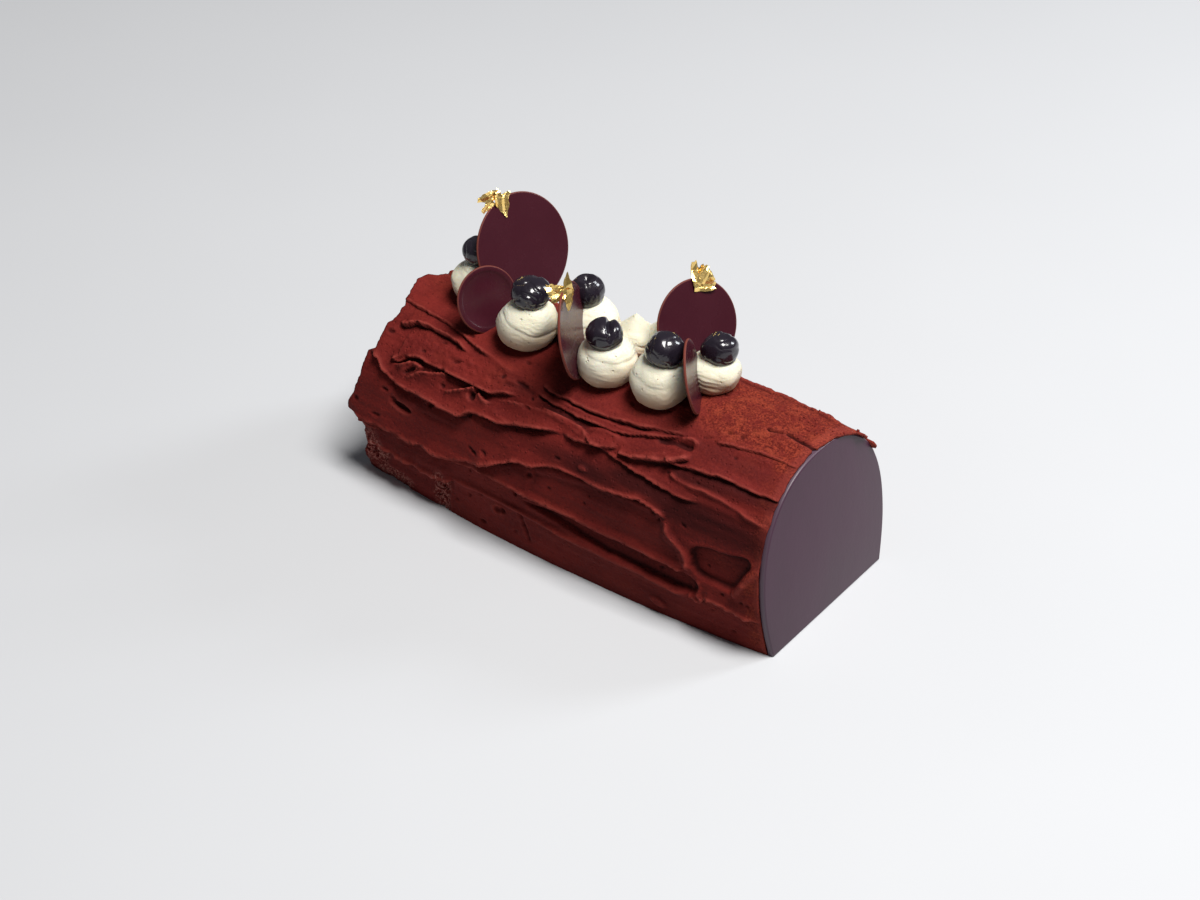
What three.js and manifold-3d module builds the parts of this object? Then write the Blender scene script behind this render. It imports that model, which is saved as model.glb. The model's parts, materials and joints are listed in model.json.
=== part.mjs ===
// A yule log cake: a long arched log under a coat of spread chocolate mousse, a plain arched
// chocolate plate on each end, and a row of toppings along the crest: piped cream kisses, cherries,
// thin chocolate discs that lean back on the kisses, and scraps of crumpled gold leaf.
//
// Millimetres, +Z up. The cake is laid out by its distance from the front plate ("along", towards -X)
// and by its distance across from the middle ("across", the front side is -Y). At the end the whole
// cake is moved so that the origin is the middle of its footprint, on the surface it rests on.

import * as THREE from "three";
import { mergeVertices } from "three/addons/utils/BufferGeometryUtils.js";
import Module from "manifold-3d";

const wasm = await Module();
wasm.setup();

// ---------------------------------------------------------------- driving dimensions

const gap = 0.3; // left between pieces that touch

const plate = {
  foot: 41, // half the width at the base
  bulge: 45, // half the width at its widest
  bulgeHeight: 28,
  height: 79,
  thickness: 3,
  edge: 0.7, // size of the eased edge
  lean: THREE.MathUtils.degToRad(6), // the front plate leans back over the log
};

const farPlate = {
  scale: 0.975, // it is trimmed to sit inside the coat
  inset: 4.5, // and stands this far in from the end of the log
};

const log = {
  length: 218, // along the crest
  foot: 41.5,
  bulge: 45.8,
  height: 82,
  bulgeHeight: 28,
  squareness: 2.25, // exponent of the rounded upper part
  belly: 7, // how much wider the foot is half-way along
  swell: 2, // how much wider the bulge is half-way along
  endDrop: 1.8, // how much lower the coat is at the front plate
  farDrop: 3.6, // and at the far end
  rings: 42,
  around: 36,
};

// Lips left by the palette knife. Each runs from one place to another, given as distance along the log
// and as distance up round the coat from the front bottom edge, and stands "rise" above the coat.
const lips = [
  { from: [219, 90], to: [158, 80], rise: 1.8 },
  { from: [222, 63], to: [196, 55], rise: 1.6 },
  { from: [206, 68], to: [142, 72], rise: 2.0 },
  { from: [160, 58], to: [92, 66], rise: 1.6 },
  { from: [229, 32], to: [150, 33], rise: 1.8 },
  { from: [150, 40], to: [55, 51], rise: 1.4 },
  { from: [222, 22], to: [40, 18], rise: 1.5 },
  { from: [130, 74], to: [52, 84], rise: 1.6 },
  { from: [110, 66], to: [8, 64], rise: 1.5 },
  { from: [72, 68], to: [8, 76], rise: 1.4 },
  { from: [222, 120], to: [120, 128], rise: 1.5 },
  { from: [150, 138], to: [10, 132], rise: 1.6 },
  { from: [215, 150], to: [95, 158], rise: 1.8 },
  { from: [120, 170], to: [12, 164], rise: 1.5 },
  { from: [220, 184], to: [60, 190], rise: 1.7 },
  { from: [90, 204], to: [8, 200], rise: 1.2 },
];
const lipWidth = 4.5;
const lipFade = 14; // length over which a lip rises from the coat and sinks back
const betweenLips = 0.6; // how much lower the coat is between the lips
const groundedHeight = 6; // the relief dies away below this height, so that the base stays straight

const scoop = { along: 26, up: 39, length: 14, width: 8, depth: 2.2 }; // a hollow near the front plate

// The ragged far end: how far the coat stands out past the far plate.
const skirt = {
  reach: 3,
  jut: 7, // the longest tongue, low on the front side
  jutAt: 32,
  jutWidth: 9,
  crest: 3, // a broad one near the crest
  crestAt: 106,
  crestWidth: 14,
  waves: 1.4,
};

// "lean" is how far the tip leans along and across, "peak" is how far it is drawn up above the dome.
const kisses = [
  { name: "kiss_1", along: 191.7, across: 5.5, radius: 13, height: 20, lean: [0, -1], peak: 0 },
  { name: "kiss_2", along: 153.5, across: -8.7, radius: 13.2, height: 21, lean: [1, 0], peak: 0 },
  { name: "kiss_3", along: 131, across: 4.5, radius: 14, height: 22, lean: [0, 0], peak: 0 },
  { name: "kiss_4", along: 108.3, across: -11.3, radius: 13, height: 20, lean: [0, 0], peak: 0 },
  { name: "kiss_5", along: 110.5, across: 8.5, radius: 11, height: 15, lean: [1, 0], peak: 2.6 },
  { name: "kiss_6", along: 81, across: -11, radius: 12.8, height: 21, lean: [-1, 2], peak: 0 },
  { name: "kiss_7", along: 68, across: 7.5, radius: 11.7, height: 17, lean: [1, 0], peak: 0 },
  { name: "kiss_8", along: 97.3, across: 15.6, radius: 11.5, height: 17, lean: [0, 0], peak: 1 },
];
// One kiss from its foot to just under its tip, as [share of the radius, share of the height].
const kissProfile = [
  [0.68, 0.03],
  [0.9, 0.18],
  [1, 0.4],
  [0.92, 0.62],
  [0.67, 0.82],
  [0.3, 0.96],
];
const kissSides = 16;
const kissSink = 0.5; // how far its foot sinks into the coat
const spiralTurns = 2.5; // turns of the piping
const spiralDepth = 0.03; // as a share of the radius

const cherries = [
  { name: "cherry_1", kiss: "kiss_1", shift: [0, 1], rise: 23.7, size: [7.8, 7.6, 7.2], turn: 0.4 },
  { name: "cherry_2", kiss: "kiss_2", shift: [0.7, 0.5], rise: 24, size: [8.8, 8.4, 7.2], turn: 1.9 },
  { name: "cherry_3", kiss: "kiss_3", shift: [-1, 0.5], rise: 24.5, size: [7.3, 7.3, 7.8], turn: 3.1 },
  { name: "cherry_4", kiss: "kiss_4", shift: [-0.3, -2], rise: 21.5, size: [8.2, 8, 7.6], turn: 4.4 },
  { name: "cherry_5", kiss: "kiss_6", shift: [0.8, 0.6], rise: 23.5, size: [8.3, 8.1, 8.3], turn: 5.2 },
  { name: "cherry_6", kiss: "kiss_7", shift: [2.2, 1.7], rise: 18.5, size: [7.9, 7.6, 7.6], turn: 0.9 },
];

// A disc faces the front plate, turned by "turn" towards the back side, and leans back by "lean".
const discs = [
  { name: "disc_1", along: 180.2, across: 20.9, height: 100.3, radius: 25, turn: -10, lean: 23 },
  { name: "disc_2", along: 176.3, across: -8.9, height: 90.1, radius: 14.8, turn: -18, lean: 22 },
  { name: "disc_3", along: 122.5, across: -16.9, height: 99.6, radius: 20.9, turn: 25.5, lean: 11.5 },
  { name: "disc_4", along: 86.5, across: 21.7, height: 96.6, radius: 20, turn: -18, lean: 24 },
  { name: "disc_5", along: 66, across: -10, height: 95.8, radius: 15.8, turn: 30.5, lean: 12.5 },
];
const discThickness = 1.7;
const discSides = 26;

// Each scrap of gold leaf sits on a disc's rim, "round" degrees from the top towards the back side, and
// its middle stands "out" beyond the rim.
const leaves = [
  { name: "leaf_1", disc: "disc_1", round: -9, out: 0, size: [8, 4.2, 6], turn: 0.3 },
  { name: "leaf_2", disc: "disc_3", round: -14, out: 0, size: [6, 5, 7], turn: 2.2 },
  { name: "leaf_3", disc: "disc_4", round: 25, out: 1.5, size: [6, 4.2, 6.2], turn: 4.1 },
];

// ---------------------------------------------------------------- materials

function finish(colour, roughness, metalness = 0) {
  return new THREE.MeshStandardMaterial({ color: colour, roughness, metalness });
}

const mousse = finish(0x6e1f17, 0.85);
const coatingChocolate = finish(0x6a5460, 0.45);
const discChocolate = finish(0x4c2029, 0.25);
const cream = finish(0xe6e1cb, 0.6);
const cherrySkin = finish(0x17151c, 0.15);
const goldLeaf = finish(0xd9a93a, 0.25, 1);

// ---------------------------------------------------------------- solids

function toSolid(geometry) {
  const bare = geometry.clone();
  bare.deleteAttribute("normal");
  bare.deleteAttribute("uv");
  const merged = mergeVertices(bare, 1e-4);
  const mesh = new wasm.Mesh({
    numProp: 3,
    vertProperties: new Float32Array(merged.attributes.position.array),
    triVerts: new Uint32Array(merged.index.array),
  });
  mesh.merge();
  return new wasm.Manifold(mesh);
}

function largestPiece(solid) {
  const pieces = solid.decompose();
  return pieces.reduce((best, piece) => (piece.volume() > best.volume() ? piece : best));
}

function toGeometry(solid) {
  const mesh = largestPiece(solid).getMesh();
  const geometry = new THREE.BufferGeometry();
  geometry.setAttribute("position", new THREE.BufferAttribute(new Float32Array(mesh.vertProperties), 3));
  geometry.setIndex(new THREE.BufferAttribute(new Uint32Array(mesh.triVerts), 1));
  geometry.computeVertexNormals();
  return geometry;
}

function bump(distance, width) {
  return Math.exp(-((distance / width) ** 2));
}

function smoothstep(value) {
  const t = Math.min(1, Math.max(0, value));
  return t * t * (3 - 2 * t);
}

// Half of an arched outline, from the foot (share 0) to the crest (share 1), as [across, height]. Its side
// swells from the foot to the bulge, and above that it closes in a squarish quarter of an oval.
const sideShare = 0.26; // share of the outline that is below the bulge

function archPoint(share, foot, bulge, height, bulgeHeight) {
  if (share < sideShare) {
    const z = (bulgeHeight * share) / sideShare;
    return [foot + (bulge - foot) * Math.sin((Math.PI / 2) * (z / bulgeHeight)), z];
  }
  const angle = ((share - sideShare) / (1 - sideShare)) * (Math.PI / 2);
  const power = 2 / log.squareness;
  const cosine = Math.max(0, Math.cos(angle));
  return [bulge * cosine ** power, bulgeHeight + (height - bulgeHeight) * Math.sin(angle) ** power];
}

// ---------------------------------------------------------------- the log

function coatSize(along) {
  const share = Math.min(1, Math.max(0, along / log.length));
  const middle = Math.sin(Math.PI * share);
  const nearDrop = log.endDrop * (1 - smoothstep(along / 40));
  const farDrop = log.farDrop * smoothstep((share - 0.3) / 0.7);
  const foot = log.foot + log.belly * middle ** 0.8;
  return {
    foot,
    bulge: Math.max(log.bulge + log.swell * middle, foot + 0.3),
    height: log.height - nearDrop - farDrop,
  };
}

function lipRelief(along, up) {
  let relief = 0;
  for (const { from, to, rise } of lips) {
    const share = (along - from[0]) / (to[0] - from[0]);
    const path = from[1] + (to[1] - from[1]) * Math.min(1, Math.max(0, share));
    const inside = Math.min(from[0] - along, along - to[0]);
    const strength = smoothstep((inside + lipFade / 2) / lipFade);
    relief += rise * strength * bump(up - path, lipWidth);
  }
  return relief;
}

function scoopRelief(along, up) {
  return -scoop.depth * bump(along - scoop.along, scoop.length) * bump(up - scoop.up, scoop.width);
}

// One ring of the coat: points from the front foot over the crest to the back foot.
function coatRing(along) {
  const { foot, bulge, height } = coatSize(along);
  const half = log.around / 2;
  const ring = [];
  for (let step = 0; step <= log.around; step += 1) {
    const side = step <= half ? -1 : 1;
    const share = 1 - Math.abs(step - half) / half;
    const [across, z] = archPoint(share, foot, bulge, height, log.bulgeHeight);
    ring.push(new THREE.Vector3(0, side * across, z));
  }
  return ring;
}

function relievedRing(along) {
  const ring = coatRing(along);
  let up = 0;
  return ring.map((point, step) => {
    const before = ring[Math.max(0, step - 1)];
    const after = ring[Math.min(ring.length - 1, step + 1)];
    up += step > 0 ? point.distanceTo(before) : 0;
    const outward = new THREE.Vector3(0, before.z - after.z, after.y - before.y).normalize();
    const grounded = smoothstep(point.z / groundedHeight);
    const relief = lipRelief(along, up) + scoopRelief(along, up) - betweenLips;
    const moved = point.clone().addScaledVector(outward, relief * grounded);
    return { point: moved, up };
  });
}

// How far out of its ring a point of the far end stands.
function skirtReach(up) {
  const jut = skirt.jut * bump(up - skirt.jutAt, skirt.jutWidth);
  const crest = skirt.crest * bump(up - skirt.crestAt, skirt.crestWidth);
  return skirt.reach + jut + crest + skirt.waves * Math.sin(up * 0.31) * Math.sin(up * 0.13 + 1);
}

const leanShare = 0.5; // share of the log over which its rings come upright behind the leaning plate
const skirtShare = 0.1; // share of the log that is drawn out into the skirt

function logGeometry() {
  const frontGap = plate.thickness + gap;
  const positions = [];
  for (let row = 0; row <= log.rings; row += 1) {
    const share = row / log.rings;
    const along = frontGap + (log.length - frontGap) * share;
    for (const { point, up } of relievedRing(along)) {
      const lean = point.z * Math.tan(plate.lean) * (1 - smoothstep(share / leanShare));
      const reach = skirtReach(up) * smoothstep((share - 1) / skirtShare + 1);
      positions.push(-along - lean - reach, point.y, point.z);
    }
  }
  const columns = log.around + 1;
  const index = [];
  for (let row = 0; row < log.rings; row += 1) {
    for (let column = 0; column < columns; column += 1) {
      const a = row * columns + column;
      const b = row * columns + ((column + 1) % columns);
      index.push(a, b, a + columns, b, b + columns, a + columns);
    }
  }
  for (const row of [0, log.rings]) {
    const first = row * columns;
    const centre = positions.length / 3;
    const xs = [];
    for (let column = 0; column < columns; column += 1) {
      xs.push(positions[(first + column) * 3]);
    }
    const middleHeight = log.height * 0.45;
    const x = row === 0 ? -frontGap - middleHeight * Math.tan(plate.lean) : Math.min(...xs);
    positions.push(x, 0, middleHeight);
    for (let column = 0; column < columns; column += 1) {
      const a = first + column;
      const b = first + ((column + 1) % columns);
      index.push(...(row === 0 ? [centre, b, a] : [centre, a, b]));
    }
  }
  const geometry = new THREE.BufferGeometry();
  geometry.setAttribute("position", new THREE.Float32BufferAttribute(positions, 3));
  geometry.setIndex(index);
  return geometry;
}

// Height of the plain coat, without its relief, at a place on top of the log.
function coatHeight(along, across) {
  const { bulge, height } = coatSize(along);
  const share = Math.min(1, Math.abs(across) / bulge) ** log.squareness;
  return log.bulgeHeight + (height - log.bulgeHeight) * (1 - share) ** (1 / log.squareness);
}

// ---------------------------------------------------------------- the end plates

// "grow" moves the whole outline outwards, the flat base included.
function plateOutline(grow) {
  const steps = 15;
  const outline = new THREE.Shape();
  outline.moveTo(-plate.foot - grow, -grow);
  for (let step = 1; step < 2 * steps; step += 1) {
    const side = step <= steps ? -1 : 1;
    const share = 1 - Math.abs(step - steps) / steps;
    const [across, z] = archPoint(
      share, plate.foot + grow, plate.bulge + grow, plate.height + grow, plate.bulgeHeight);
    outline.lineTo(side * across, z);
  }
  outline.lineTo(plate.foot + grow, -grow);
  outline.closePath();
  return outline;
}

// The outline stands in the YZ plane and the plate's thickness runs towards -X from its face at x = 0.
function plateGeometry() {
  const geometry = new THREE.ExtrudeGeometry(plateOutline(-plate.edge), {
    depth: plate.thickness - 2 * plate.edge,
    bevelEnabled: true,
    bevelThickness: plate.edge,
    bevelSize: plate.edge,
    bevelSegments: 1,
    curveSegments: 1,
  });
  geometry.translate(0, 0, plate.edge - plate.thickness);
  geometry.rotateX(Math.PI / 2);
  geometry.rotateZ(Math.PI / 2);
  return geometry;
}

// Leans a piece back over the log, and keeps its base flat.
const leanBack = new THREE.Matrix4().makeShear(0, 0, 0, 0, -Math.tan(plate.lean), 0);

function recessGeometry() {
  const depth = 40;
  const geometry = new THREE.ExtrudeGeometry(plateOutline(gap), { depth, bevelEnabled: false });
  geometry.translate(0, 0, -depth);
  geometry.rotateX(Math.PI / 2);
  geometry.rotateZ(Math.PI / 2);
  return geometry;
}

// ---------------------------------------------------------------- toppings

function kissGeometry({ radius, height, lean, peak }, grow) {
  const profile = [new THREE.Vector2(0, 0)];
  for (const [out, up] of kissProfile) {
    profile.push(new THREE.Vector2(out * radius + grow, up * height));
  }
  profile.push(new THREE.Vector2(0, height + peak + grow));
  const geometry = new THREE.LatheGeometry(profile, kissSides);
  geometry.rotateX(Math.PI / 2);
  const position = geometry.attributes.position;
  for (let i = 0; i < position.count; i += 1) {
    const x = position.getX(i);
    const y = position.getY(i);
    const share = position.getZ(i) / height;
    const spiral = 1 + spiralDepth * Math.sin(Math.atan2(y, x) + share * Math.PI * 2 * spiralTurns);
    const bend = share * share;
    position.setXYZ(i, x * spiral + lean[0] * bend, y * spiral + lean[1] * bend, position.getZ(i));
  }
  return geometry;
}

function placeKiss(geometry, { along, across }) {
  const step = 2;
  const rise = coatHeight(along, across + step) - coatHeight(along, across - step);
  const tilt = Math.atan2(rise, 2 * step);
  geometry.rotateX(tilt * 0.6);
  geometry.translate(-along, across, coatHeight(along, across) - kissSink);
  return geometry;
}

function cherryGeometry({ size, turn }, grow) {
  const geometry = new THREE.SphereGeometry(1, 12, 8);
  geometry.rotateX(Math.PI / 2);
  const position = geometry.attributes.position;
  const place = new THREE.Vector3();
  for (let i = 0; i < position.count; i += 1) {
    place.fromBufferAttribute(position, i);
    const dimple = 0.16 * Math.exp(-12 * (1 - place.z));
    const folds = Math.sin(3 * Math.atan2(place.y, place.x) + 2 * place.z + turn);
    const out = 1 - dimple + 0.05 * folds * (1 - place.z ** 2);
    const [x, y, z] = place.toArray().map((value, axis) => value * (size[axis] * out + grow));
    position.setXYZ(i, x, y, z);
  }
  geometry.rotateZ(turn);
  return geometry;
}

function placeCherry(geometry, { kiss, shift, rise }) {
  const host = kisses.find(({ name }) => name === kiss);
  const z = coatHeight(host.along, host.across) - kissSink + rise;
  geometry.translate(-host.along + shift[0], host.across + shift[1], z);
  return geometry;
}

// A disc about its own axis, +X: the face is at +X.
function discGeometry({ radius }, grow) {
  const half = discThickness / 2 + grow;
  const rim = radius + grow;
  const ease = 0.5;
  const profile = [
    new THREE.Vector2(0, -half),
    new THREE.Vector2(rim - ease, -half),
    new THREE.Vector2(rim, 0),
    new THREE.Vector2(rim - ease, half),
    new THREE.Vector2(0, half),
  ];
  const geometry = new THREE.LatheGeometry(profile, discSides);
  geometry.rotateZ(-Math.PI / 2);
  return geometry;
}

function placeDisc(geometry, { along, across, height, turn, lean }) {
  geometry.rotateY(-THREE.MathUtils.degToRad(lean));
  geometry.rotateZ(THREE.MathUtils.degToRad(turn));
  geometry.translate(-along, across, height);
  return geometry;
}

// A crumpled scrap: a ball of flat facets pushed in and out at random.
function leafGeometry({ size, turn }) {
  const geometry = new THREE.IcosahedronGeometry(1, 1);
  const position = geometry.attributes.position;
  const place = new THREE.Vector3();
  for (let i = 0; i < position.count; i += 1) {
    place.fromBufferAttribute(position, i);
    const crumple = Math.sin(7 * place.x + turn) * Math.sin(6 * place.y + 2 * turn) * Math.sin(5 * place.z);
    place.multiplyScalar(0.85 + 0.3 * crumple);
    position.setXYZ(i, place.x * size[1], place.y * size[0], place.z * size[2]);
  }
  return geometry;
}

function placeLeaf(geometry, { disc, round, out }) {
  const host = discs.find(({ name }) => name === disc);
  const angle = THREE.MathUtils.degToRad(round);
  const reach = host.radius + out;
  geometry.translate(0, Math.sin(angle) * reach, Math.cos(angle) * reach);
  return placeDisc(geometry, host);
}

// ---------------------------------------------------------------- assembly

const cake = new THREE.Group();

function addPiece(name, geometry, material) {
  const mesh = new THREE.Mesh(geometry, material);
  mesh.name = name;
  cake.add(mesh);
}

const discSlots = discs.map((disc) => toSolid(placeDisc(discGeometry(disc, gap), disc)));
const cherryDents = cherries.map((cherry) => toSolid(placeCherry(cherryGeometry(cherry, gap), cherry)));

let coat = toSolid(logGeometry());
const recess = recessGeometry();
recess.scale(1, farPlate.scale, farPlate.scale);
recess.translate(farPlate.inset - log.length, 0, 0);
coat = coat.subtract(toSolid(recess));
for (const slot of discSlots) {
  coat = coat.subtract(slot);
}
addPiece("log", toGeometry(coat), mousse);
const coatClearance = coat.translate([0, 0, gap * 1.2]);

const frontPlate = plateGeometry();
frontPlate.applyMatrix4(leanBack);
addPiece("end_plate_front", toGeometry(toSolid(frontPlate)), coatingChocolate);

const backPlate = plateGeometry();
backPlate.scale(1, farPlate.scale, farPlate.scale);
backPlate.translate(farPlate.inset - log.length - gap, 0, 0);
addPiece("end_plate_far", toGeometry(toSolid(backPlate)), coatingChocolate);

const kissDents = [];
for (const kiss of kisses) {
  let body = toSolid(placeKiss(kissGeometry(kiss, 0), kiss)).subtract(coatClearance);
  for (const other of [...kissDents, ...cherryDents, ...discSlots]) {
    body = body.subtract(other);
  }
  kissDents.push(toSolid(placeKiss(kissGeometry(kiss, gap), kiss)));
  addPiece(kiss.name, toGeometry(body), cream);
}

for (const cherry of cherries) {
  let body = toSolid(placeCherry(cherryGeometry(cherry, 0), cherry));
  for (const slot of discSlots) {
    body = body.subtract(slot);
  }
  addPiece(cherry.name, toGeometry(body), cherrySkin);
}

for (const disc of discs) {
  addPiece(disc.name, toGeometry(toSolid(placeDisc(discGeometry(disc, 0), disc))), discChocolate);
}

for (const leaf of leaves) {
  let body = toSolid(placeLeaf(leafGeometry(leaf), leaf));
  for (const other of [...discSlots, ...kissDents, ...cherryDents]) {
    body = body.subtract(other);
  }
  addPiece(leaf.name, toGeometry(body), goldLeaf);
}

const footprint = new THREE.Box3().setFromObject(cake);
const middle = footprint.getCenter(new THREE.Vector3());
cake.position.set(-middle.x, -middle.y, -footprint.min.z);

export default cake;
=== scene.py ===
"""The looks of a yule log cake, built around its packed construction.

A log of cake under spread chocolate mousse, with an arched chocolate plate on each end. Along the crest
stand piped cream kisses with cherries on them, thin chocolate discs and scraps of crumpled gold leaf.
Lengths are in millimetres up to the moment a mesh is made, which is in metres.
"""

import json
import math
import random

import bmesh
import bpy
import numpy as np
from mathutils import Matrix, Vector, noise

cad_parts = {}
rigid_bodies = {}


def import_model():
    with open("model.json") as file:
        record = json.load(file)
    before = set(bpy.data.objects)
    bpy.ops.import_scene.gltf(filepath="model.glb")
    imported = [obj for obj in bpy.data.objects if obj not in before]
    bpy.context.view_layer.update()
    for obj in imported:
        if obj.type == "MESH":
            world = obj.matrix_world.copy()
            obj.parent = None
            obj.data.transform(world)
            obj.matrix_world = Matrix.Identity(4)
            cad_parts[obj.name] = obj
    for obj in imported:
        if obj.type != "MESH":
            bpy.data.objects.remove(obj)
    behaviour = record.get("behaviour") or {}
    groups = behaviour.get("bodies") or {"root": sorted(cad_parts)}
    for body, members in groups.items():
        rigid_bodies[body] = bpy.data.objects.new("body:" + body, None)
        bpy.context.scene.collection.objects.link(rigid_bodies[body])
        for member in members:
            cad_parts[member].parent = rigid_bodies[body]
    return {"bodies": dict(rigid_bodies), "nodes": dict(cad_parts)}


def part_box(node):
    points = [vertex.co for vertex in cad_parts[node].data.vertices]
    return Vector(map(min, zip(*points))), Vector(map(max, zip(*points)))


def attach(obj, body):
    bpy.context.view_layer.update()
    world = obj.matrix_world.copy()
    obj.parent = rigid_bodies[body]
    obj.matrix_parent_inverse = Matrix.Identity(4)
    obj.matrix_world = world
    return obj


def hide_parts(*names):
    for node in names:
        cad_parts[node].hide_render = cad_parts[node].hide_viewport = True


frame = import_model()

kept = {*frame["nodes"].values(), *frame["bodies"].values()}
for leftover in [item for item in bpy.data.objects if item not in kept]:
    bpy.data.objects.remove(leftover)
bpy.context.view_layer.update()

MM = 0.001
SAME_POINT = 1e-3  # millimetres

# ------------ places

# Places on the cake are given as the distance along it from its front plate, the distance across it
# from its middle line (the back side is positive) and the height.
PLATE_LOW, PLATE_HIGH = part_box("end_plate_front")
NEAR_FACE = PLATE_HIGH.x / MM
MIDDLE = (PLATE_LOW.y + PLATE_HIGH.y) / 2 / MM


def place(along, across, height):
    return Vector((NEAR_FACE - along, MIDDLE + across, height))


def middle(node):
    """The middle of a construction piece, in millimetres."""
    low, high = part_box(node)
    return (low + high) / 2 / MM


def half_span(node):
    low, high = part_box(node)
    return (high - low) / 2 / MM


# ------------ small helpers


def ease(value):
    """A smooth step from 0 to 1, for numbers and for arrays."""
    held = np.clip(value, 0.0, 1.0)
    return held * held * (3 - 2 * held)


def curve_through(points, steps=6):
    """A smooth line of many short steps through a few points."""
    ends = [2 * points[0] - points[1], *points, 2 * points[-1] - points[-2]]
    line = []
    for before, start, end, after in zip(ends, ends[1:], ends[2:], ends[3:]):
        for step in range(steps):
            t = step / steps
            line.append(
                0.5 * (2 * start + (end - before) * t
                       + (2 * before - 5 * start + 4 * end - after) * t**2
                       + (3 * start - before - 3 * end + after) * t**3)
            )
    return np.array([*line, points[-1]])


def mottle(along, up, size, seed):
    """Smooth random values from -1 to 1 over a surface, with blots of the given size."""
    cells, margin = 256, 40
    lattice = np.random.default_rng(seed).uniform(-1, 1, (cells, cells))
    a, b = along / size[0] + margin, up / size[1] + margin
    row, column = np.floor(a).astype(int), np.floor(b).astype(int)
    p, q = ease(a - row), ease(b - column)
    near, far = (
        lattice[r % cells, column % cells] * (1 - q) + lattice[r % cells, (column + 1) % cells] * q
        for r in (row, row + 1))
    return near * (1 - p) + far * p


def add_object(name, data):
    made = bpy.data.objects.new(name, data)
    bpy.context.scene.collection.objects.link(made)
    return made


def to_mesh(name, bm):
    mesh = bpy.data.meshes.new(name)
    bm.to_mesh(mesh)
    bm.free()
    return mesh


def face_outwards(bm):
    bmesh.ops.recalc_face_normals(bm, faces=bm.faces)


def make_piece(name, bm, finish, stands_for=None, smooth=True):
    """Turns a bmesh, in millimetres, into a piece of the cake."""
    bmesh.ops.scale(bm, vec=(MM, MM, MM), verts=bm.verts)
    mesh = to_mesh(name, bm)
    mesh.polygons.foreach_set("use_smooth", [smooth] * len(mesh.polygons))
    mesh.materials.append(finish)
    piece = add_object(name, mesh)
    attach(piece, "root")
    if stands_for:
        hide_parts(stands_for)
    return piece


# ------------ finishes


class Socket:
    """An output of a shader node. Arithmetic on it adds the Math nodes for the expression."""

    def __init__(self, finish, output):
        self.finish = finish
        self.output = output

    def math(self, operation, first, second):
        return self.finish.node("ShaderNodeMath", {0: first, 1: second}, operation=operation)

    def __add__(self, other):
        return self.math("ADD", self, other)

    def __rsub__(self, other):
        return self.math("SUBTRACT", other, self)

    def __mul__(self, other):
        return self.math("MULTIPLY", self, other)

    __radd__, __rmul__ = __add__, __mul__


class Finish:
    """A material whose nodes are added one by one."""

    def __init__(self, name, **uniform):
        self.material = bpy.data.materials.new(name)
        self.material.use_nodes = True
        self.tree = self.material.node_tree
        self.surface = self.tree.nodes["Principled BSDF"]
        for socket, value in uniform.items():
            self.surface.inputs[socket.replace("_", " ")].default_value = value
        self.here = self.node("ShaderNodeTexCoord", output="Object")

    def node(self, kind, inputs=None, output=0, **settings):
        made = self.tree.nodes.new(kind)
        for name, value in settings.items():
            setattr(made, name, value)
        for key, value in (inputs or {}).items():
            self.join(value, made.inputs[key])
        return Socket(self, made.outputs[output])

    def join(self, value, socket):
        if isinstance(value, Socket):
            self.tree.links.new(value.output, socket)
        else:
            socket.default_value = value

    def set(self, **varying):
        for name, value in varying.items():
            self.join(value, self.surface.inputs[name.replace("_", " ")])
        return self.material

    def scaled(self, stretch):
        """The place on the piece, in metres, times a stretch for each axis."""
        return self.node("ShaderNodeVectorMath", {0: self.here, 1: stretch}, operation="MULTIPLY")

    def grain(self, per_metre, detail=3.0, roughness=0.55, distortion=0.0, stretch=(1, 1, 1)):
        """Cloudy noise from 0 to 1 with so many blots to the metre."""
        return self.node("ShaderNodeTexNoise", {
            "Vector": self.scaled(stretch), "Scale": per_metre, "Detail": detail,
            "Roughness": roughness, "Distortion": distortion})

    def specks(self, per_metre, stretch=(1, 1, 1)):
        """The distance to the nearest of many scattered points, in cells."""
        inputs = {"Vector": self.scaled(stretch), "Scale": per_metre}
        return self.node("ShaderNodeTexVoronoi", inputs, output="Distance")

    def between(self, value, low, high):
        """0 below the low value, 1 above the high one, smooth in between."""
        return self.node(
            "ShaderNodeMapRange", {"Value": value, "From Min": low, "From Max": high},
            interpolation_type="SMOOTHSTEP")

    def painted(self, name):
        """A value painted on the mesh's points."""
        return self.node("ShaderNodeAttribute", output="Fac", attribute_name=name)

    def mixed(self, colour, *layers):
        """A colour with others laid over it in turn, each with the share of it that shows."""
        for share, over in layers:
            inputs = {"Factor": share}
            for key, value in ((6, colour), (7, over)):
                inputs[key] = (*value, 1) if isinstance(value, tuple) else value
            colour = self.node("ShaderNodeMix", inputs, output=2, data_type="RGBA")
        return colour

    def bump(self, *layers):
        """Fine reliefs laid one over another, each with its depth in millimetres."""
        under = {}
        for height, depth in layers:
            inputs = {"Height": height, "Distance": depth * MM, "Strength": 1.0, **under}
            under = {"Normal": self.node("ShaderNodeBump", inputs)}
        return under["Normal"]


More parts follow.
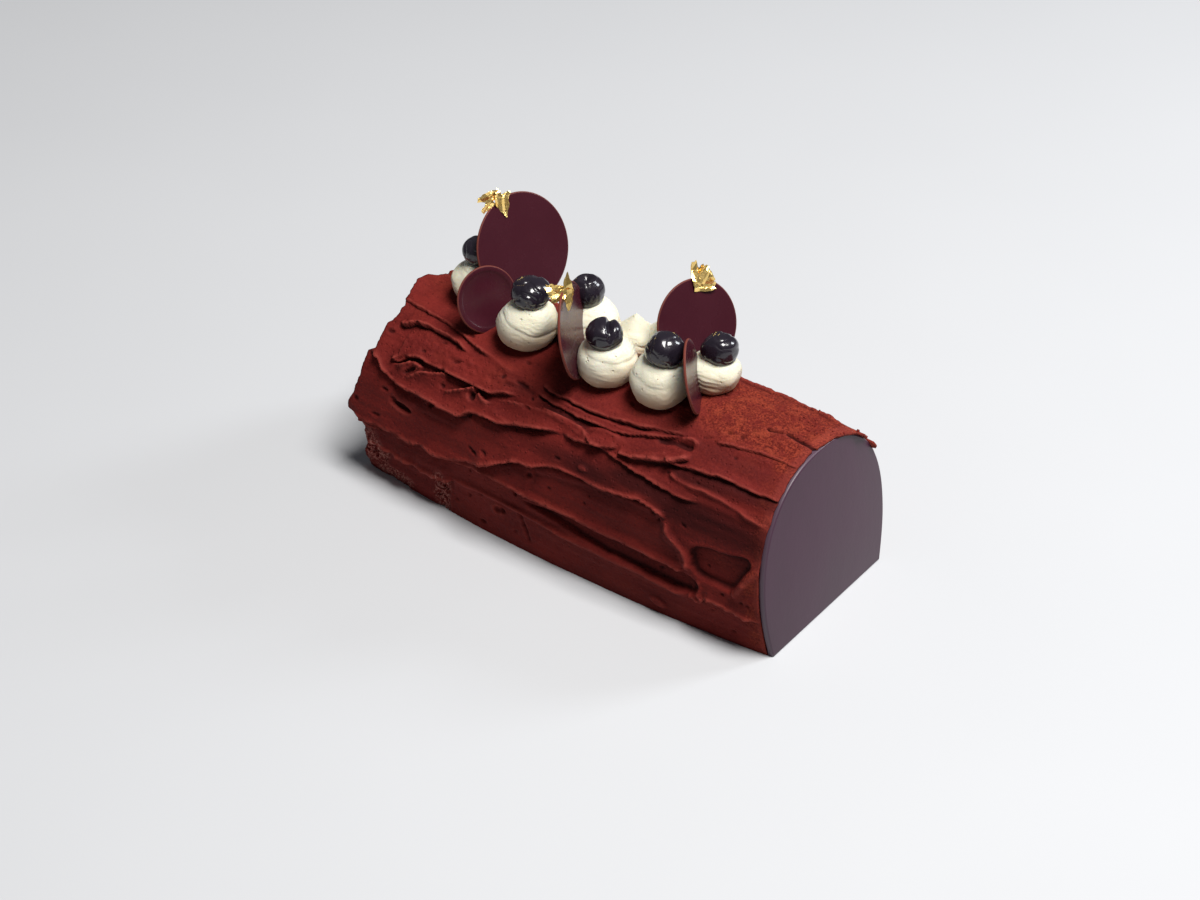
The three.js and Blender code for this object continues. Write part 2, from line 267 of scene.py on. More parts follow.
def mousse_finish():
    """Dull, faintly velvety spread mousse, with cocoa dust where it is painted on, painted shade in its
    hollows and down its near side, and painted highlights along its crests.
    """
    coat = Finish("mousse_coat", Specular_IOR_Level=0.09)
    hollow, dust, crest, crust = (coat.painted(name) for name in ("hollow", "dust", "crest", "crust"))
    broad = coat.grain(35, detail=4)
    fine = coat.grain(900, detail=4, roughness=0.7)
    powder = coat.grain(1000, detail=4, roughness=0.75)
    streak = coat.grain(260, detail=4, roughness=0.65, stretch=(0.14, 1, 1))
    grit = coat.grain(760, detail=3, roughness=0.8)
    blotch = coat.grain(150, detail=3, roughness=0.6)
    dusted = coat.mixed(
        (0.095, 0.0095, 0.007),
        (coat.between(powder, 0.42, 0.6), (0.24, 0.035, 0.018)),
        (coat.between(grit, 0.5, 0.36) * 0.6, (0.06, 0.007, 0.006)),
        (coat.between(blotch, 0.5, 0.64) * 0.55, (0.12, 0.012, 0.01)),
        (coat.between(blotch, 0.46, 0.36) * 0.4, (0.27, 0.045, 0.022)))
    colour = coat.mixed(
        (0.105, 0.0095, 0.0085),
        (coat.between(broad, 0.35, 0.65), (0.145, 0.0138, 0.0112)),
        (coat.between(streak, 0.4, 0.6) * 0.4, (0.085, 0.0078, 0.0075)),
        (coat.between(fine, 0.4, 0.65) * 0.45, (0.18, 0.02, 0.014)),
        (dust, dusted),
        # painted highlight along the crests and along the edge at the front plate
        (crest * 0.55, (0.27, 0.048, 0.036)),
        # painted shade in the hollows, in the deep cuts and down the near side
        (hollow * (0.5 + 0.42 * hollow), (0.028, 0.003, 0.003)),
        (coat.between(grit, 0.47, 0.58) * crust * 0.8, (0.4, 0.16, 0.13)))
    pores = coat.between(coat.specks(420), 0.1, 0.28)
    return coat.set(
        Base_Color=colour, Roughness=0.62 + 0.2 * fine + dust * 0.15,
        Normal=coat.bump((fine, 0.3), (streak, 0.3), (powder * dust, 0.45), (pores, 0.22)))


def plate_finish():
    """Tempered chocolate with a satin face and faint bloom, and a painted highlight along its bevelled
    edge.
    """
    plate = Finish("plate_chocolate", Specular_IOR_Level=0.4)
    cloud = plate.grain(28, detail=5, stretch=(1, 1, 0.5))
    fine = plate.grain(700, detail=2)
    marks = plate.between(plate.specks(60), 0.05, 0.025)
    colour = plate.mixed(
        (0.034, 0.0085, 0.023),
        (plate.between(cloud, 0.3, 0.7), (0.043, 0.012, 0.03)),
        (marks * 0.35, (0.05, 0.03, 0.04)),
        # painted highlight along the plate's bevelled edge
        (plate.painted("rim") * 0.8, (0.085, 0.052, 0.075)))
    relief = plate.bump((cloud, 0.35), (fine, 0.03))
    return plate.set(Base_Color=colour, Roughness=0.36 + 0.12 * cloud, Normal=relief)


def disc_finish():
    """Thin tempered chocolate with a glossy face; the snapped rim is matte and carries a painted
    highlight that makes it paler.
    """
    disc = Finish("disc_chocolate", Specular_IOR_Level=0.27, Coat_Roughness=0.1)
    # The rim value makes the snapped edge matte and paints a highlight on it that makes it paler.
    rim = disc.painted("rim")
    cloud = disc.grain(60, detail=4)
    colour = disc.mixed(
        (0.036, 0.0055, 0.0105), (cloud, (0.047, 0.0075, 0.014)), (rim, (0.14, 0.028, 0.017)))
    return disc.set(
        Base_Color=colour, Roughness=0.22 + 0.1 * cloud + 0.5 * rim, Coat_Weight=0.1 - 0.1 * rim,
        Normal=disc.bump((cloud, 0.12)))


def cream_finish():
    """Whipped cream with vanilla seeds and tiny air holes, and painted warm shade towards the bottom of
    each kiss.
    """
    cream = Finish(
        "vanilla_cream", Specular_IOR_Level=0.3, Subsurface_Weight=0.3, Subsurface_Scale=0.003,
        Subsurface_Radius=(1.0, 0.6, 0.3))
    cloud = cream.grain(70, detail=3)
    fine = cream.grain(600, detail=4, roughness=0.6)
    whipped = cream.grain(190, detail=4, stretch=(1, 1, 3))
    seeds = cream.between(cream.specks(330, stretch=(1, 1, 0.6)), 0.085, 0.05)
    faint = cream.between(cream.specks(520), 0.1, 0.04)
    pores = cream.between(cream.specks(260), 0.05, 0.16)
    colour = cream.mixed(
        (0.66, 0.63, 0.49),
        (cream.between(cloud, 0.3, 0.7), (0.71, 0.69, 0.565)),
        # painted shade towards the bottom of each kiss, warmed like light thrown back from the red coat
        (cream.between(cream.painted("low"), 0.22, 0.82) * 0.85, (0.4, 0.245, 0.145)),
        (faint * 0.35, (0.5, 0.38, 0.22)),
        (seeds * 0.85, (0.2, 0.11, 0.05)))
    return cream.set(
        Base_Color=colour, Roughness=0.45 + 0.15 * fine,
        Normal=cream.bump((pores, 0.45), (whipped, 0.32), (fine, 0.22)))


def cherry_finish():
    """The dark, syrupy skin of a preserved cherry."""
    cherry = Finish("cherry_skin", Specular_IOR_Level=0.35, Coat_Weight=0.6, Coat_Roughness=0.03)
    cloud = cherry.grain(120, detail=3)
    wrinkle = cherry.grain(420, detail=2, distortion=0.6)
    colour = cherry.mixed((0.006, 0.005, 0.009), (cloud, (0.02, 0.014, 0.022)))
    return cherry.set(
        Base_Color=colour, Roughness=0.2 + 0.12 * cloud, Normal=cherry.bump((wrinkle, 0.12)))


def gold_finish():
    """Beaten gold leaf."""
    gold = Finish("gold_leaf", Metallic=0.9)
    cloud = gold.grain(500, detail=3)
    colour = gold.mixed((0.9, 0.54, 0.1), (cloud, (1.0, 0.8, 0.36)))
    return gold.set(
        Base_Color=colour, Roughness=0.16 + 0.16 * cloud, Normal=gold.bump((gold.grain(900), 0.08)))


# ------------ the coat of mousse

LOG_LENGTH = 218
FOOT, BULGE, BULGE_HEIGHT, CREST = 41.5, 45.8, 28, 82  # half widths at the ends, and heights
BELLY, SWELL = 7, 2  # how much wider the middle is, at the foot and at the bulge
NEAR_DROP, NEAR_DROP_LENGTH = 1.8, 40
FAR_DROP, FAR_DROP_START = 3.6, 0.3
SQUARENESS = 2.25
SIDE_SHARE = 0.26  # the share of the outline's points that are below the bulge
CORE_HEIGHT = 0.4 * CREST
PLATE_GAP = 3.2
PLATE_LEAN = math.tan(math.radians(6))


def coat_size(along):
    """The coat's half width at the base and at its widest, and its height, at a place along the log."""
    share = np.clip(along / LOG_LENGTH, 0, 1)
    belly = math.sin(math.pi * share)
    foot = FOOT + BELLY * belly**0.8
    near_drop = NEAR_DROP * (1 - ease(along / NEAR_DROP_LENGTH))
    far_drop = FAR_DROP * ease((share - FAR_DROP_START) / (1 - FAR_DROP_START))
    return foot, max(BULGE + SWELL * belly, foot + 0.3), CREST - near_drop - far_drop


def arch(steps, foot, bulge, height):
    """An arched outline from the front foot over to the back one: distances across and heights."""
    share = np.linspace(0, 1, steps + 1)
    up = BULGE_HEIGHT * np.minimum(share / SIDE_SHARE, 1)
    side = foot + (bulge - foot) * np.sin(np.pi / 2 * up / BULGE_HEIGHT)
    angle = np.clip((share - SIDE_SHARE) / (1 - SIDE_SHARE), 0, 1) * np.pi / 2
    power = 2 / SQUARENESS
    over = bulge * np.maximum(np.cos(angle), 0) ** power
    rise = BULGE_HEIGHT + (height - BULGE_HEIGHT) * np.sin(angle) ** power
    side, rise = np.where(share < SIDE_SHARE, (side, up), (over, rise))
    return np.concatenate((-side, side[-2::-1])), np.concatenate((rise, rise[-2::-1]))


def coat_outline(along, steps):
    """The plain coat's outline at a place along the log, and how far up round it each point is."""
    across, height = arch(steps, *coat_size(along))
    return across, height, np.concatenate(([0], np.cumsum(np.hypot(np.diff(across), np.diff(height)))))


def crest_height(along, across):
    """The height of the coat at a place on top of the log."""
    _, bulge, height = coat_size(along)
    share = min(1, abs(across) / bulge) ** SQUARENESS
    return BULGE_HEIGHT + (height - BULGE_HEIGHT) * (1 - share) ** (1 / SQUARENESS)


# Grooves deeper than CUT get painted shade inside them.
CUT = -1.55  # a groove that is deeper than this is dark inside
LIP_SCALE = 1.3  # the lips of the sides stand out this much more than their tables say
AIR_HOLES, AIR_HOLE_DEPTH = 130, 0.7


class Relief:
    """What the palette knife left on the coat, over places given as the distance along the log and the
    distance up round the coat from its front bottom edge."""

    FAR_AWAY = 1e9
    LIP_REACH, RIDGE_REACH = 3.2, 3.5  # where a stroke has died away, in its own breadths
    BEAD, BEAD_SETBACK, BEAD_WIDTH = 0.35, 0.4, 0.6  # the rounded bead along a lip's edge
    DRAG_REACH = 2.5

    def __init__(self, along, up):
        self.along = along
        self.up = up
        self.height = np.zeros_like(along)
        self.slide = np.zeros_like(along)  # how far the surface is dragged up round the coat
        # Painted shade in the deep cuts and in the shaded stretches below the lips.
        self.painted_shade = np.zeros_like(along)  # how dark the deep cuts are

    def beside(self, path, reach):
        """The places near a path, how far along it each is, from 0 to 1, and how far above it."""
        line = curve_through([np.array(point, float) for point in path])
        low, high = line.min(0) - reach, line.max(0) + reach
        found = np.nonzero(
            (self.along > low[0]) & (self.along < high[0]) & (self.up > low[1]) & (self.up < high[1]))
        along, up = self.along[found], self.up[found]
        nearest = np.full(along.shape, self.FAR_AWAY)
        share, above = np.zeros_like(along), np.zeros_like(along)
        for step, (start, end) in enumerate(zip(line, line[1:])):
            run, climb = end - start
            length = math.hypot(run, climb)
            ahead = np.clip(((along - start[0]) * run + (up - start[1]) * climb) / length**2, 0, 1)
            a, b = along - start[0] - ahead * run, up - start[1] - ahead * climb
            distance = np.hypot(a, b)
            side = np.where(climb * a - run * b < 0, -1, 1)
            closer = distance < nearest
            nearest = np.where(closer, distance, nearest)
            share = np.where(closer, (step + ahead) / (len(line) - 1), share)
            above = np.where(closer, distance * side, above)
        return found, share, above

    def strength(self, share, fade, seed):
        """How strong a stroke is along its path: it fades in and out and varies a little."""
        start, end = fade
        shown = ease(share / start) * ease((1 - share) / end)
        return shown * (0.85 + 0.3 * mottle(share * 9, share * 0, (1, 1), seed))

    def lip(self, path, rise, above, hollow, below=3, drop=0.5, curl=0.9, fade=(0.08, 0.12), turn=1):
        """A lip that swells up to its beaded edge and drops sharply beyond it. Turned -1, the edge
        faces up."""
        found, share, offset = self.beside(path, self.LIP_REACH * max(above, below))
        offset = offset * turn
        shown = self.strength(share, fade, int(abs(path[0][0]) * 7 + path[0][1]))
        swell = np.exp(-((np.maximum(offset, 0) / above) ** 1.3))
        bead = self.BEAD * np.exp(-(((offset - self.BEAD_SETBACK) / self.BEAD_WIDTH) ** 2))
        swell += bead * (1 + mottle(share * 30, share, (1, 1), 31))
        edge = ease((offset + drop) / drop)
        under = (1 - edge) * np.exp(-np.maximum(-offset - drop, 0) / below)
        self.height[found] += shown * (rise * swell * edge - hollow * under)
        dragged = np.exp(-np.maximum(offset, 0) / self.DRAG_REACH)
        self.slide[found] -= shown * turn * curl * edge * dragged

    def ridge(self, path, rise, width, fade=(0.15, 0.15)):
        """A narrow raised line, or with a negative rise a groove."""
        found, share, offset = self.beside(path, self.RIDGE_REACH * width)
        shown = self.strength(share, fade, int(abs(path[0][0]) * 5 + path[0][1]))
        self.height[found] += shown * rise * np.exp(-((np.abs(offset) / width) ** 1.6))
        # A deep groove gets painted shade inside it.
        if rise < CUT:
            self.painted_shade[found] = np.maximum(self.painted_shade[found], shown * np.exp(-((offset / width) ** 4)))

    def patch(self, centre, size, turn=0, soft=0.35):
        """How much each place belongs to an oval patch, from 0 to 1."""
        a, b = self.along - centre[0], self.up - centre[1]
        tilt = math.radians(turn)
        across = (a * math.cos(tilt) + b * math.sin(tilt)) / size[0]
        over = (b * math.cos(tilt) - a * math.sin(tilt)) / size[1]
        return ease((1 - np.hypot(across, over)) / soft + 0.5)

    def pit(self, centre, size, depth, turn=0):
        self.height -= depth * self.patch(centre, size, turn, soft=0.7)

    def basin(self, outline, depth, edge):
        """A sunken stretch inside an outline, which is given against the clock."""
        found, _, offset = self.beside([*outline, outline[0]], edge)
        self.height[found] -= depth * ease(offset / edge)


# Lips that face down, from the far end towards the front plate: path, rise, breadth of the swell above,
# depth of the hollow below.
FRONT_LIPS = [
    ([(221, 91), (205, 90.5), (191, 89), (178, 86), (160, 81)], 1.2, 7, 0.5),
    ([(213, 80), (209, 79), (205, 82), (198, 82.7), (191, 83), (182, 82.5), (172, 79.5)], 1.9, 4, 0.9),
    ([(209, 66), (206, 63.8), (199.6, 67), (193, 68.8), (178, 68.3), (161, 68), (152.7, 68.8),
      (147.5, 71), (139, 72)], 1.8, 9, 0.6),
    ([(223, 63.5), (215, 61.5), (210, 58.3), (196.5, 54.2), (184, 54.2), (166, 53.1), (160, 56.8),
      (151.7, 58.3), (142, 58.3), (132, 61), (121.5, 63.5), (110, 65.6)], 2, 4.5, 1.2),
    ([(112, 65.8), (102.8, 66.5), (92.4, 66.7), (82, 65), (71.6, 63), (61, 62), (50.8, 61.7), (40, 61)],
      1, 3.5, 0.5),
    ([(229, 32.5), (215, 31), (200, 31.5), (190, 31), (169, 33), (156, 36), (145.4, 39.6), (136, 43.8)],
      0.9, 4, 0.5),
    ([(156, 36), (145.4, 39.6), (136, 43.8), (130, 46.4), (121.5, 47.4), (110, 51), (102.8, 51.6),
      (87, 52), (72, 52.8), (65, 53), (57, 51), (53, 48.5)], 1.9, 6, 1.1),
    ([(190, 33), (168, 32), (146, 33), (120, 32.7), (92, 32), (61, 29.8), (47, 28.6), (41, 28.4)],
      1.3, 4, 0.9),
    ([(226, 29), (212, 28.5), (203, 30.5), (194, 30), (182, 33.5)], 1.2, 3, 0.8),
    ([(222, 20.5), (200, 19), (186, 18), (173, 17), (166, 18.5)], 2.2, 6, 2),
    ([(40, 17.4), (33, 17.5), (30, 20.5), (19.5, 20.8), (3, 18.2)], 1.6, 4, 0.9),
    ([(62, 74), (57, 73), (35, 74.2), (19.5, 74.5), (4, 75.2)], 1.2, 3, 0.8),
    ([(46, 87.5), (36, 90), (20, 92), (8, 91.5)], 0.7, 2.5, 0.4),
    ([(132, 80.5), (120, 79.7), (97.6, 79.9), (82, 81.8), (69.5, 83.9), (56, 86)], 0.9, 5, 0.9),
    ([(132, 76.6), (120, 76), (102.8, 75.5), (87, 76), (76.8, 78.6), (66.4, 81.8), (60, 84)],
      0.9, 2, 0.9),
    ([(99, 69.5), (93.5, 67.5), (84, 69.5)], 1, 2.5, 0.9),
    ([(84, 68), (73.7, 68.5), (61, 72.5), (51, 77)], 1.3, 2.5, 0.9),
]
# Folds whose sharp edge faces up: path, rise, how far below the edge they swell.
RAISED_EDGES = [
    ([(208, 61.5), (201, 64), (196, 66), (191, 66)], 2.2, 3.5),
    ([(199, 57.5), (195, 61), (190, 64.6), (182, 66.3), (176, 67.4)], 2, 3.5),
    ([(178, 60), (171, 62), (165, 65), (160, 68)], 2.6, 3.2),
    ([(159, 66.5), (156, 64.5), (151, 63.5)], 1.6, 2),
    ([(152, 66), (140, 68.5), (128, 70.6), (117, 71)], 0.9, 2.5),
    ([(129, 71.5), (120, 72.5), (108, 72), (97, 70)], 1.2, 3),
]
# Narrow ridges and grooves: path, rise, width.
FRONT_RIDGES = [
    ([(176, 84), (166, 83.5), (154, 80.5), (146, 79.5)], 0.8, 1.4),
    ([(53.5, 49), (51.5, 44), (47.5, 41), (43.5, 38), (41, 33.5), (40.3, 28.5)], 2.6, 1.3),
    ([(34.5, 28), (34.5, 23), (33, 18.5)], 1.3, 1.1),
    ([(118, 20.4), (92, 19.4), (61, 18), (36, 16.6)], 1.9, 1.3),
    ([(170, 19), (152.7, 21.4), (130, 20.6), (108, 19.9)], 1.5, 1.3),
    ([(124, 78), (104, 77.7), (84, 78.9), (66, 82.6)], 0.9, 0.8),
    ([(60, 83.5), (55, 84.6), (51.5, 83)], 1.6, 1),
    ([(51.8, 87), (48.2, 89)], -0.8, 0.5),
    ([(70, 79), (60, 80.6), (52, 80.6)], -1.8, 1.4),
    ([(124, 72), (108, 69.6), (93.5, 67.7)], 0.7, 1),
    ([(80, 68), (70, 70.6), (61, 74), (51, 77.8)], 1.9, 1.2),
    ([(74, 71), (66, 73.6), (58, 77)], 0.9, 0.8),
    ([(61, 68.8), (50.8, 67.2), (35, 65.6), (19.5, 64), (3, 62)], 1.5, 0.9),
    ([(103, 71), (98, 73.6), (91, 74.4), (84, 73)], 0.8, 0.8),
    ([(103, 71), (98, 68.6), (91, 67.6), (84, 69)], 0.9, 0.8),
    ([(19, 28.5), (16, 31), (12, 37), (8, 43), (5, 46)], 2.2, 1.7),
    ([(129, 20.5), (126, 15), (122.5, 6)], -1.5, 0.7),
    ([(26, 107), (15, 105.2), (0, 102.4)], -2.4, 1),
    ([(32, 104), (25, 105.8)], -1.6, 0.7),
    ([(28, 88), (16, 91), (7, 92)], 0.5, 1.6),
    ([(222, 99), (205, 98), (190, 96), (176, 92)], -1.1, 7),
    ([(206, 56), (198, 52), (184, 51.5)], -0.8, 2.2),
    ([(150, 62), (140, 60.5), (130, 62.8), (118, 66)], 0.8, 1),
    ([(150, 74.5), (141, 76), (130, 75)], -0.9, 0.9),
]
# Pits and air holes: centre, half sizes, depth, turn.
PITS = [
    ((198, 44), (5.6, 1.5), 2.4, 3), ((203, 46), (1.6, 1), 1.2, 0), ((215, 74.3), (1.6, 1), 1.2, 0),
    ((194, 72), (1, 0.8), 1, 0), ((175, 73.6), (2.6, 0.6), 0.9, -25), ((208, 49), (1.5, 1), 1, 0),
    ((181.4, 51), (1.6, 0.9), 0.9, 0), ((224, 39), (1.2, 0.9), 0.9, 0),
    ((211, 35.6), (2.4, 0.7), 0.8, 0), ((154, 41), (2.6, 0.6), 0.9, 5), ((133, 69), (2.2, 0.8), 1, 0),
    ((123, 42), (1.4, 0.9), 0.9, 0), ((175.6, 88), (1.2, 0.8), 0.9, 0), ((144, 87), (1.3, 0.8), 0.9, 0),
    ((150.6, 77), (1.1, 0.8), 0.8, 0), ((197, 62.4), (3, 0.8), 1.6, -38),
    ((203, 65.4), (3.6, 1.2), 1.4, -22), ((178, 62), (1.3, 1), 1, 0), ((140, 77), (3.5, 0.7), 1, 8),
    ((128, 75.6), (2.6, 0.6), 1, 0), ((187, 79.6), (1.6, 0.5), 0.8, 0),
    ((140.7, 15.6), (1.6, 1.3), 1.2, 0), ((150, 4.7), (1.8, 1), 1, 0),
    ((37.4, 95.3), (0.9, 0.8), 0.9, 0), ((31, 104.7), (1.4, 0.8), 0.9, 0), ((161, 63), (2, 1.6), 2, 60),
    ((112, 40), (0.9, 0.7), 0.6, 0), ((138, 15.8), (1.2, 1.1), 1.6, 0), ((147, 43), (1.8, 0.7), 0.8, 8),
    ((190, 84), (1.4, 0.5), 0.7, 0),
]
# Sunken stretches: outline against the clock as it looks from outside, depth, breadth of the edge.
BASINS = [
    ([(40, 32), (34, 28.4), (24, 28.4), (18, 29.6), (15, 36), (11, 44), (13.5, 48.4), (22, 46.6),
      (33, 44.4), (40.6, 41)], 3, 1.5),
    ([(130, 28.4), (110, 24.6), (90, 21.6), (60, 19), (37, 18.4), (36, 26.5), (60, 28), (90, 29.4),
      (110, 29.8)], 2.4, 1.8),
    ([(122, 45), (120, 33.4), (80, 32.4), (46, 30), (46, 37), (52, 41), (55, 48), (66, 50.6),
      (100, 49.5)], 0.9, 2.5),
]
# Lumps that stand out: centre, half sizes, rise, turn.
LUMPS = [
    ((91.4, 71.7), (8, 3), 1, -4), ((96, 56), (2.4, 1.1), 0.7, 0), ((86.7, 30.2), (2.2, 0.9), 0.7, 0),
    ((55, 6.3), (3.6, 2.2), 1, 10), ((140.7, 15.6), (3.6, 3.4), 0.7, 0), ((205, 73), (4, 3), 0.4, 0),
]
# Shaded stretches below the lips: centre, half sizes, turn, how dark.
SHADED = [
    ((32, 70.4), (32, 3.4), -2, 0.8), ((30, 55.5), (32, 8.5), 3, 0.68), ((22, 23.5), (15, 2.6), 0, 0.5),
    ((68, 60), (24, 4.5), 4, 0.6), ((196, 61), (14, 3), -4, 0.4), ((128, 75), (26, 3), 3, 0.5),
    ((40, 83), (26, 3.6), 2, 0.4), ((105, 56), (26, 4.5), 2, 0.6), ((150, 44), (30, 8), 6, 0.3),
]
# Torn, crumbly patches: centre, half sizes, how deep they are set back.
TORN = [
    ((216, 15), (9, 10), 1.1), ((174, 9), (4.5, 11), 1), ((226, 12), (9, 12), 0.8),
    ((204, 4), (12, 4), 0.8), ((219, 236), (7, 12), 0.8),
]

# The crest carries a few lips of its own. The back side carries the same kinds of strokes as the front,
# turned about so that they run the other way.
CREST_LIPS = [
    ([(222, 120), (200, 124), (170, 121), (140, 126), (118, 128)], 1.3, 6, 0.7),
    ([(150, 141), (120, 137), (90, 139), (60, 133), (30, 134), (12, 132)], 1.2, 7, 0.6),
    ([(224, 137), (200, 141), (178, 140), (158, 146)], 1.5, 7, 0.8),
]
BACK_TURN = (229, 250)  # where the front's own starting point comes to lie on the back side


def front_strokes(relief):
    """The strokes of the long front side. Returns the height before the sunken stretches are cut."""
    for path, rise, above, hollow in FRONT_LIPS:
        relief.lip(path, rise * LIP_SCALE, above, hollow * LIP_SCALE)
    for path, rise, above in RAISED_EDGES:
        relief.lip(path, rise, above, hollow=0.2, below=2, curl=0.4, turn=-1, fade=(0.3, 0.12))
    for path, rise, width in FRONT_RIDGES:
        relief.ridge(path, rise, width)
    for centre, size, rise, turn in LUMPS:
        relief.height += rise * relief.patch(centre, size, turn, soft=0.8)
    for centre, size, depth, turn in PITS:
        relief.pit(centre, size, depth, turn)
    # Painted shade in the stretches below the lips.
    for centre, size, turn, dark in SHADED:
        relief.painted_shade = np.maximum(relief.painted_shade, dark * relief.patch(centre, size, turn, soft=1.2))
    raised = relief.height.copy()
    for outline, depth, edge in BASINS:
        relief.basin(outline, depth, edge)
    return raised


def knife_work(along, up):
    """The coat's relief, its height before the side's sunken stretches are cut and before its grain is
    added, how dusted it is and how rough."""
    drift = 0.9 * mottle(along, up, (17, 9), 1) + 0.35 * mottle(along, up, (4.5, 3), 2)
    warped_along, warped_up = along + 0.6 * mottle(along, up, (6, 5), 3), up + drift
    relief = Relief(warped_along, warped_up)
    bent_up = 0.98 * warped_up - 2 * mottle(along, up, (30, 20), 13)
    back = Relief(BACK_TURN[0] - warped_along, BACK_TURN[1] - bent_up)
    raised = front_strokes(relief) + front_strokes(back)
    relief.height += back.height
    relief.slide -= back.slide
    before = relief.height.copy()
    for path, rise, above, hollow in CREST_LIPS:
        relief.lip(path, rise, above, hollow)
    draw = random.Random(3)
    for _ in range(AIR_HOLES):
        centre = (draw.uniform(4, 222), draw.uniform(4, 246))
        size = draw.uniform(0.45, 0.85)
        relief.pit(centre, (size * draw.uniform(1, 2), size), AIR_HOLE_DEPTH, draw.uniform(-30, 30))
    raised += relief.height - before
    sharp = relief.height.copy()

    # long strokes, then a grain that is coarse on the dusted and the rough stretches
    strokes = mottle(along, up, (70, 7), 4) * 0.5 + mottle(along, up, (30, 2.3), 5) * 0.24
    dust = ease((up - 84) / 14) * ease((76 - along) / 26) * ease((190 - up) / 40)
    dust = np.clip(dust + 0.25 * ease((up - 96) / 20) + 0.2 * mottle(along, up, (14, 8), 6), 0, 1)
    rough = np.zeros_like(along)
    for centre, size, depth in TORN:
        torn = relief.patch(centre, size, soft=0.6)
        relief.height -= depth * torn
        rough = np.maximum(rough, torn)
    plateau = relief.patch((178, 74.5), (33, 6), soft=0.5)
    coarse = mottle(along, up, (1.7, 1.4), 7) + 0.7 * mottle(along, up, (0.9, 0.8), 8)
    relief.height += strokes + coarse * (0.06 + 0.24 * plateau + 0.2 * dust + 0.6 * rough)
    return relief, raised, sharp, dust, rough


def local_mean(values, passes):
    """Each value smoothed with those around it; more passes reach further."""
    mean = values.copy()
    for _ in range(passes):
        padded = np.pad(mean, 1, mode="edge")
        mean = (padded[2:, 1:-1] + padded[:-2, 1:-1] + padded[1:-1, 2:] + padded[1:-1, :-2]) / 4
    return mean


# The ragged far end: how far along the coat reaches, at distances up round it.
FAR_EDGE = [
    (0, 222), (8, 223.5), (14, 221), (21, 220.5), (25, 220), (30, 222.3), (32, 228.4), (35, 228.2),
    (43, 225.6), (53, 223), (62.5, 222.5), (65, 219), (77, 219), (81, 217), (88, 217), (92, 219.5),
    (106, 223.6), (111, 223), (113, 219), (121, 218), (133, 220.5), (146, 218.5), (149, 223),
    (160, 221), (172, 219), (183, 222.5), (197, 221), (200, 218), (214, 220.5), (230, 221),
]
# The near edge laps over the rim of the front plate by this much.
NEAR_LAP = [
    (0, 0.2), (40, 0.4), (52, 0.9), (62, 1.5), (75, 1.8), (102, 2), (103.4, 0.8), (105, 2.5), (118, 3),
    (124, 4.4), (134, 5.2), (140, 5.6), (143, 4.8), (144, 1.6), (148, 1.8), (149, 4.8), (153, 5),
    (154, 1.6), (176, 0.8), (230, 0.2),
]
LAP_WAVE, NEAR_WAVE, FAR_WAVE, FAR_TATTER = 0.2, 0.12, 0.7, 0.2  # how uneven the edges are
COAT_ROWS = 292
FRONT_REACH = 126  # the finely divided part of the coat, up round it from the front bottom edge
FRONT_COLUMNS, BACK_COLUMNS, BASE_COLUMNS = 210, 112, 6
COAT_STEPS, CRUMB_STEPS = 259, 119  # of half an outline, for the coat and for the crumbs on it
HUG, HUG_LENGTH = 0.35, 7  # the share of the relief that is left at the front plate
GROUNDED = 5  # the relief dies away below this height
FOOT_TUCK = 0.3
WALL_FOOT = 0.015  # the coat's thickness at its far foot, as a share of the base's width
STANDS_PROUD = 2.4  # the most that the relief reaches out sideways
COVER_OVER_PLATE = 1.2  # the deepest hollow over the far plate
OPEN_DEPTH = 4  # how much deeper a hollow may be elsewhere
ON_BASE = 0.01  # a point lower than this stands on the base
LAP_THICKNESS, RIM_THICKNESS = 1.1, 0.8
FAR_PLATE_SCALE = 0.975
FAR_PLATE_FACE = LOG_LENGTH - 4.2
FAR_WALL = FAR_PLATE_FACE - 0.6  # just behind the far plate
WALL_STEP = 0.3


def along_edge(edge, up):
    """How far an edge reaches, at distances up round the coat."""
    return np.interp(up, *zip(*edge))


def coat_surface():
    """Rows of points over the plain coat, with room for those back under its base: the distance along,
    the distance across, the height, the distance up round the coat and the way out of it."""
    shape = (COAT_ROWS + 1, FRONT_COLUMNS + BACK_COLUMNS + BASE_COLUMNS + 1)
    across, height, up = np.zeros(shape), np.zeros(shape), np.zeros(shape)
    normal = np.zeros((*shape, 2))
    coat = FRONT_COLUMNS + BACK_COLUMNS + 1
    for row in range(shape[0]):
        y, z, walked = coat_outline(LOG_LENGTH * row / COAT_ROWS, COAT_STEPS)
        front = np.linspace(0, FRONT_REACH, FRONT_COLUMNS + 1)
        back = np.linspace(FRONT_REACH, walked[-1], BACK_COLUMNS + 1)[1:]
        around = np.concatenate((front, back))
        up[row, :coat] = around
        across[row, :coat] = np.interp(around, walked, y)
        height[row, :coat] = np.interp(around, walked, z)
        run, climb = np.gradient(across[row, :coat]), np.gradient(height[row, :coat])
        length = np.hypot(run, climb)
        normal[row, :coat] = np.stack((-climb / length, run / length), axis=1)
    lap = along_edge(NEAR_LAP, up) * (1 + LAP_WAVE * mottle(up, up, (5, 5), 21))
    near = PLATE_GAP + height * PLATE_LEAN - lap
    near -= NEAR_WAVE * mottle(up, up, (1.5, 1.5), 22) * ease((up - 60) / 20)
    ragged = FAR_WAVE * mottle(up, up, (3.6, 3.6), 11) + FAR_TATTER * mottle(up, up, (1.3, 1.3), 12)
    far = along_edge(FAR_EDGE, up) + ragged
    along = near + (far - near) * np.linspace(0, 1, shape[0])[:, None]
    return along, across, height, up, normal


